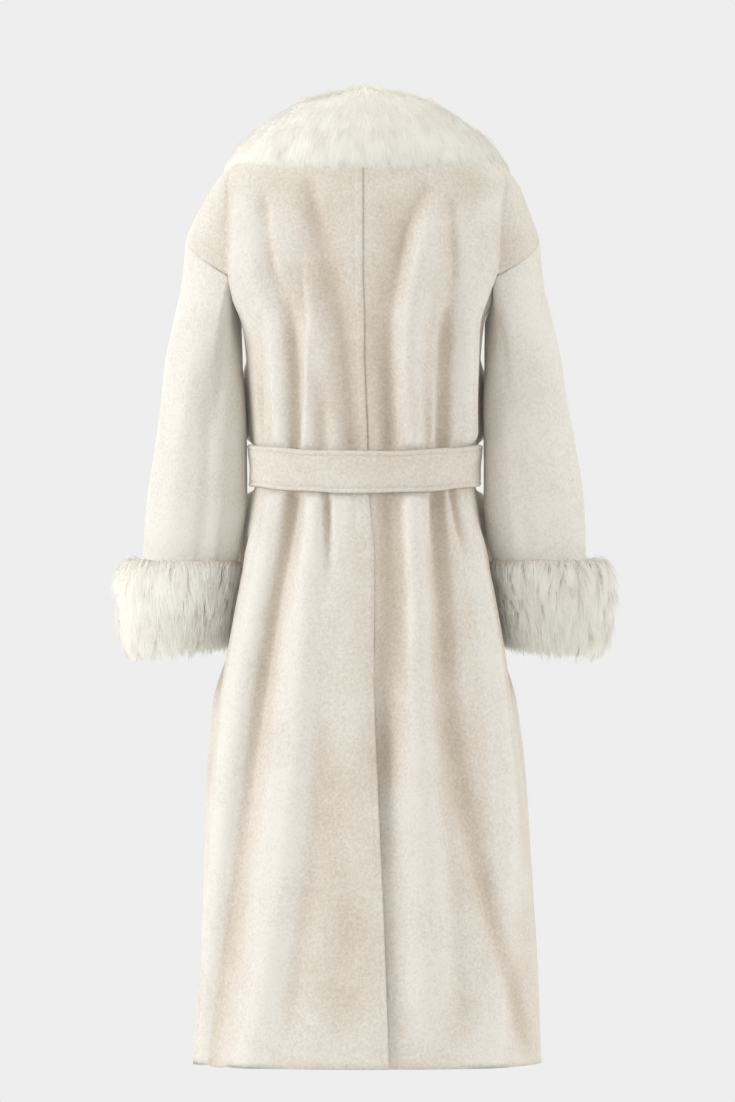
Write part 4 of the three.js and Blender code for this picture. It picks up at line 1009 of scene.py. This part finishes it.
def grow(name, node, surface, u, v, scale, length, lift, rng, cell, pull):
    """Hairs on a surface of two parameters: they start along its normal and its second direction, then lie
    along that direction, and their tips draw together into locks. The scale is the surface's size along its
    two parameters, and a cell is a lock's size, in millimetres."""
    scale_u, scale_v = scale

    def frame_at(a, b):
        p = surface(a, b)
        step_a, step_b = 1.5 / scale_u, 1.5 / scale_v
        side_way = unit(surface(a + step_a, b) - surface(a - step_a, b))
        flow = unit(surface(a, b + step_b) - surface(a, b - step_b))
        normal = unit(np.cross(side_way, flow))
        return p, side_way, flow, normal

    def curve(a, b, size, raise_, sway, flip):
        p, side_way, flow, normal = frame_at(a, b)
        normal = normal * flip
        swayed = unit(flow + side_way * sway[:, None])
        rise, lie = np.sin(raise_ * RAD)[:, None], np.cos(raise_ * RAD)[:, None]
        size = size[:, None]
        down = np.array([0, 0, -1.0])
        first = unit(swayed * lie + normal * rise)
        second = unit(swayed + normal * (rise * 0.1) + down * 0.3)
        bend = p + first * size * 0.42
        return np.stack([p, bend, bend + second * size * 0.58], axis=1), normal

    lock, middle_u, middle_v = lock_of(u * scale_u, v * scale_v, cell[0], cell[1], rng)
    lock_sway = rng.normal(0, 0.16, len(middle_u))
    lock_size = rng.uniform(0.8, 1.15, len(middle_u))
    lock_tone = rng.normal(0, 0.05, len(middle_u))
    wander = 0.25 * np.sin(u * scale_u / 37 + v * scale_v / 61) + 0.15 * np.sin(u * scale_u / 17 + 2)
    flip = surface.flip
    size = length(u, v) * lock_size[lock] * rng.uniform(0.82, 1.08, len(u))
    raise_ = lift(u, v) + rng.normal(0, 7, len(u))
    stray = rng.random(len(u)) < 0.05
    raise_ = np.where(stray, raise_ + rng.uniform(5, 25, len(u)), raise_)
    sway = lock_sway[lock] + wander + rng.normal(0, 0.16, len(u))
    path, normal = curve(u, v, size, raise_, sway, flip)
    centre_u, centre_v = middle_u[lock] / scale_u, middle_v[lock] / scale_v
    guide_size = length(centre_u, centre_v) * lock_size[lock]
    guide, _ = curve(centre_u, centre_v, guide_size, lift(centre_u, centre_v), lock_sway[lock] + wander, flip)
    draw = np.where(stray, 0.1, pull) * rng.uniform(0.6, 1.25, len(u))
    for k, share in ((1, 0.3), (2, 1.0)):  # the bend and the tip
        path[:, k] = mix(path[:, k], guide[:, k], np.clip(draw * share, 0, 0.95)[:, None])
    facing = unit(normal + rng.normal(0, 0.3, normal.shape))
    width = rng.uniform(0.6, 1.05, len(u))
    # The roots' low tone is painted shade deep in the pile; the locks' tones differ at random.
    tone_and_root_shade = np.stack([0.15 + lock_tone[lock] + rng.normal(0, 0.08, len(u)),
                     0.9 + lock_tone[lock] + rng.normal(0, 0.1, len(u))], axis=1)
    obj = ribbons(name, path, facing, width, tone_and_root_shade)
    obj.visible_shadow = False
    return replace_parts(obj, node)


class CollarSurface:
    """The collar's pelt by station and way, on one side, read between the points of a fine grid."""
    STATIONS, WAYS = 181, 49

    def __init__(self, side):
        self.flip = side
        s = np.linspace(0, 2.5, self.STATIONS)
        t = np.linspace(0, 1, self.WAYS)
        self.grid = collar_pile(side, *np.meshgrid(s, t, indexing="ij"))
        self.past = collar_pile(-side, *np.meshgrid(s, t, indexing="ij"))

    def __call__(self, s, t):
        a = np.clip(np.abs(s) / 2.5, 0, 1) * (self.STATIONS - 1)
        b = np.clip(t, 0, 1) * (self.WAYS - 1)
        i = np.minimum(a.astype(int), self.STATIONS - 2)
        j = np.minimum(b.astype(int), self.WAYS - 2)
        a, b = (a - i)[..., None], (b - j)[..., None]
        places = []
        for grid in (self.grid, self.past):
            near = mix(grid[i, j], grid[i, j + 1], b)
            places.append(mix(near, mix(grid[i + 1, j], grid[i + 1, j + 1], b), a))
        return np.where((s < 0)[..., None], places[1], places[0])


class CuffSurface:
    """The cuff's pelt by turn and height."""

    def __init__(self, side):
        self.side = side
        self.flip = -side

    def __call__(self, turn, down):
        angle = turn * 360
        z = CUFF["top_z"] - 2 - down * (CUFF["top_z"] - CUFF["bottom_z"])
        across, depth = np.cos(angle * RAD), np.sin(angle * RAD)
        side_pile = np.where(across > 0, CUFF_PILE["outer"], CUFF_PILE["inner"])
        depth_pile = np.where(depth > 0, CUFF_PILE["back"], CUFF_PILE["front"])
        pile = np.hypot(side_pile * across, depth_pile * depth)
        p = sleeve_section(self.side, angle, np.maximum(z, CUFF["cloth_end_z"]))
        off = FUR_CLEAR + 1 + (pile - 1) * 0.5 * cuff_profile(z)
        p = p + points(self.side * across, depth, 0 * z) * off[..., None]
        p[..., 2] = z
        return p


def collar_fur(name, surface, low, high, count, rng):
    """Hairs of one stretch of the collar, evenly over its area."""
    pool_s, pool_t = rng.uniform(low, high, count * 4), rng.uniform(0.0, 0.95, count * 4)
    e = 0.01
    span_s = surface(pool_s + e, pool_t) - surface(pool_s - e, pool_t)
    span_t = surface(pool_s, pool_t + e) - surface(pool_s, pool_t - e)
    area = np.linalg.norm(np.cross(span_s, span_t), axis=-1)
    keep = rng.random(count * 4) < area / np.quantile(area, 0.97)
    s, t = pool_s[keep][:count], pool_t[keep][:count]

    def length(a, b):
        full = np.interp(b, [0, 0.15, 0.35, 0.7, 0.93], [14, 22, 36, 38, 24])
        return full * np.interp(a, [0, 0.5, 1.0, 1.5, 2.5], [1, 0.85, 0.85, 0.95, 0.8])

    def lift(a, b):
        return np.interp(b, [0, 0.2, 0.5, 0.95], [22, 22, 20, 9])

    return grow(name, "fur_collar", surface, s, t, (300, 150), length, lift, rng, (5, 13), 0.3)


def cuff_fur(name, node, side, count, rng):
    surface = CuffSurface(side)
    turn, down = rng.random(count), rng.uniform(0.0, CUFF_PILE["last_root"], count)

    def length(a, b):
        reach = np.interp(np.cos(a * 2 * math.pi), [-1, -0.6, 0.2, 1], [0.4, 0.6, 0.9, 1.0])
        return CUFF_PILE["hair"] * reach * np.interp(b, [0, 0.6, 0.86], [1, 0.9, 0.6])

    def lift(a, b):
        reach = np.interp(np.cos(a * 2 * math.pi), [-1, -0.6, 0.2], [0.3, 0.6, 1.0])
        return np.interp(b, [0, 0.06, 0.2, 0.5, 0.86], [50, 52, 46, 30, 14]) * reach

    return grow(name, node, surface, turn, down, (400, 122), length, lift, rng, (7, 18), 0.38)


def cuff_pad(name, side):
    """The pelt under a cuff's pile, a closed pad."""
    surface = CuffSurface(side)
    turns, downs = np.arange(60) / 60, np.linspace(0.02, 0.82, 14)
    turn, down = np.meshgrid(turns, downs, indexing="ij")
    outer = surface(turn, down)
    inside_z = np.array([CUFF["bottom_z"] + 22, CUFF["cloth_end_z"] - 1, -632, -605, -582, CUFF["top_z"] - 3])
    angle, z = np.meshgrid(turns * 360, inside_z, indexing="ij")
    inner = sleeve_section(side, angle, np.maximum(z, CUFF["cloth_end_z"]))
    inner = inner + points(side * np.cos(angle * RAD), np.sin(angle * RAD), 0 * z) * FUR_CLEAR
    inner[..., 2] = z
    loops = np.concatenate([outer, inner], axis=1)
    faces = ring_faces(loops.shape[0], loops.shape[1], True)
    return dress(make_mesh(name + "_pelt", loops.reshape(-1, 3), [faces], PELT), "fur", name)


cloth = {
    "back_left": panel("back_left", 1, True),
    "back_right": panel("back_right", -1, True),
    "front_left": panel("front_left", 1, False),
    "front_right": panel("front_right", -1, False),
    "sleeve_left": sleeve_tube("sleeve_left", 1),
    "sleeve_right": sleeve_tube("sleeve_right", -1),
    "belt_band": belt_band(),
    "belt_knot": overlay("belt_knot", 50, 46, knot_place),
    "belt_tail_left": overlay("belt_tail_left", 120, 24, tail_place(1)),
    "belt_tail_right": overlay("belt_tail_right", 120, 24, tail_place(-1)),
}

for pad in (collar_pad(), cuff_pad("fur_cuff_left", 1), cuff_pad("fur_cuff_right", -1)):
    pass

HAIRS = {"yoke": 47000, "lapel": 26000, "cuff": 26000}
random = np.random.default_rng(20)
for side_name, side in (("left", 1), ("right", -1)):
    pelt = CollarSurface(side)
    collar_fur(f"fur_collar_{side_name}_yoke", pelt, -0.05, 1.4, HAIRS["yoke"], random)
    collar_fur(f"fur_collar_{side_name}_lapel", pelt, 1.4, 2.5, HAIRS["lapel"], random)
cuff_fur("fur_cuff_left_pile", "fur_cuff_left", 1, HAIRS["cuff"], random)
cuff_fur("fur_cuff_right_pile", "fur_cuff_right", -1, HAIRS["cuff"], random)

FLOOR = {"radius": 2000, "z": -1450, "corners": 96}


def floor():
    count, radius, z = FLOOR["corners"], FLOOR["radius"], FLOOR["z"]
    turn = np.arange(count) / count * 2 * math.pi
    verts = points(radius * np.cos(turn), radius * np.sin(turn), z + 0 * turn)
    verts = np.concatenate([verts, [[0, 0, z]]])
    j = np.arange(count)
    faces = np.stack([j, (j + 1) % count, np.full(count, count)], 1)
    material, _, _, shader = new_material("pale_floor")
    shader.inputs["Base Color"].default_value = (0.86, 0.86, 0.86, 1)
    shader.inputs["Roughness"].default_value = 0.9
    make_mesh("floor", verts, [faces], material, orient=False)


def area_light(name, place, size, power):
    """A round soft light that points at the coat's waist."""
    light = bpy.data.lights.new(name, "AREA")
    light.shape = "DISK"
    light.size = size
    light.energy = power
    obj = bpy.data.objects.new(name, light)
    bpy.context.scene.collection.objects.link(obj)
    obj.location = place
    aim = np.array([0, 0, WAIST_Z]) - np.array(place)
    tilt = math.atan2(math.hypot(aim[0], aim[1]), -aim[2])
    obj.rotation_euler = (tilt, 0, math.atan2(aim[0], -aim[1]) + math.pi)


WAIST_Z = -0.6
floor()
area_light("side_left", (2.5, 1.1, 0.2), 1.7, 37)
area_light("side_right", (-3.6, 1.0, 0.3), 2.4, 48)
area_light("front", (1.0, -3.4, 0.5), 2.6, 80)
area_light("top", (0.6, 0.4, 3.2), 2.0, 34)

BACKDROP = (0.855, 0.855, 0.855)  # what the camera sees behind the coat
AMBIENT = (0.63, 0.605, 0.565)  # what lights the coat all round, as from a warm room
world = bpy.data.worlds.new("studio")
bpy.context.scene.world = world
world.use_nodes = True
sky, joins = world.node_tree.nodes, world.node_tree.links
soft_light = sky["Background"]
soft_light.inputs["Color"].default_value = (*AMBIENT, 1)
backdrop = sky.new("ShaderNodeBackground")
backdrop.inputs["Color"].default_value = (*BACKDROP, 1)
blend = sky.new("ShaderNodeMixShader")
joins.new(sky.new("ShaderNodeLightPath").outputs["Is Camera Ray"], blend.inputs["Fac"])
joins.new(soft_light.outputs["Background"], blend.inputs[1])
joins.new(backdrop.outputs["Background"], blend.inputs[2])
joins.new(blend.outputs["Shader"], sky["World Output"].inputs["Surface"])
bpy.context.scene.view_settings.view_transform = "Standard"

# The photo looks straight at the back from far away: 1102 pixels of 1.27 mm make the height that it sees
DISTANCE = 10.0
SEEN_HEIGHT = 1.3995
MIDDLE_Z = -0.5499
camera_data = bpy.data.cameras.new("photo_view")
camera_data.sensor_width = 36
camera_data.lens = 36 * DISTANCE / SEEN_HEIGHT
camera_data.clip_end = 60
camera = bpy.data.objects.new("photo_view", camera_data)
bpy.context.scene.collection.objects.link(camera)
camera.location = (0, DISTANCE, MIDDLE_Z)
camera.rotation_euler = (math.pi / 2, 0, math.pi)
bpy.context.scene.camera = camera
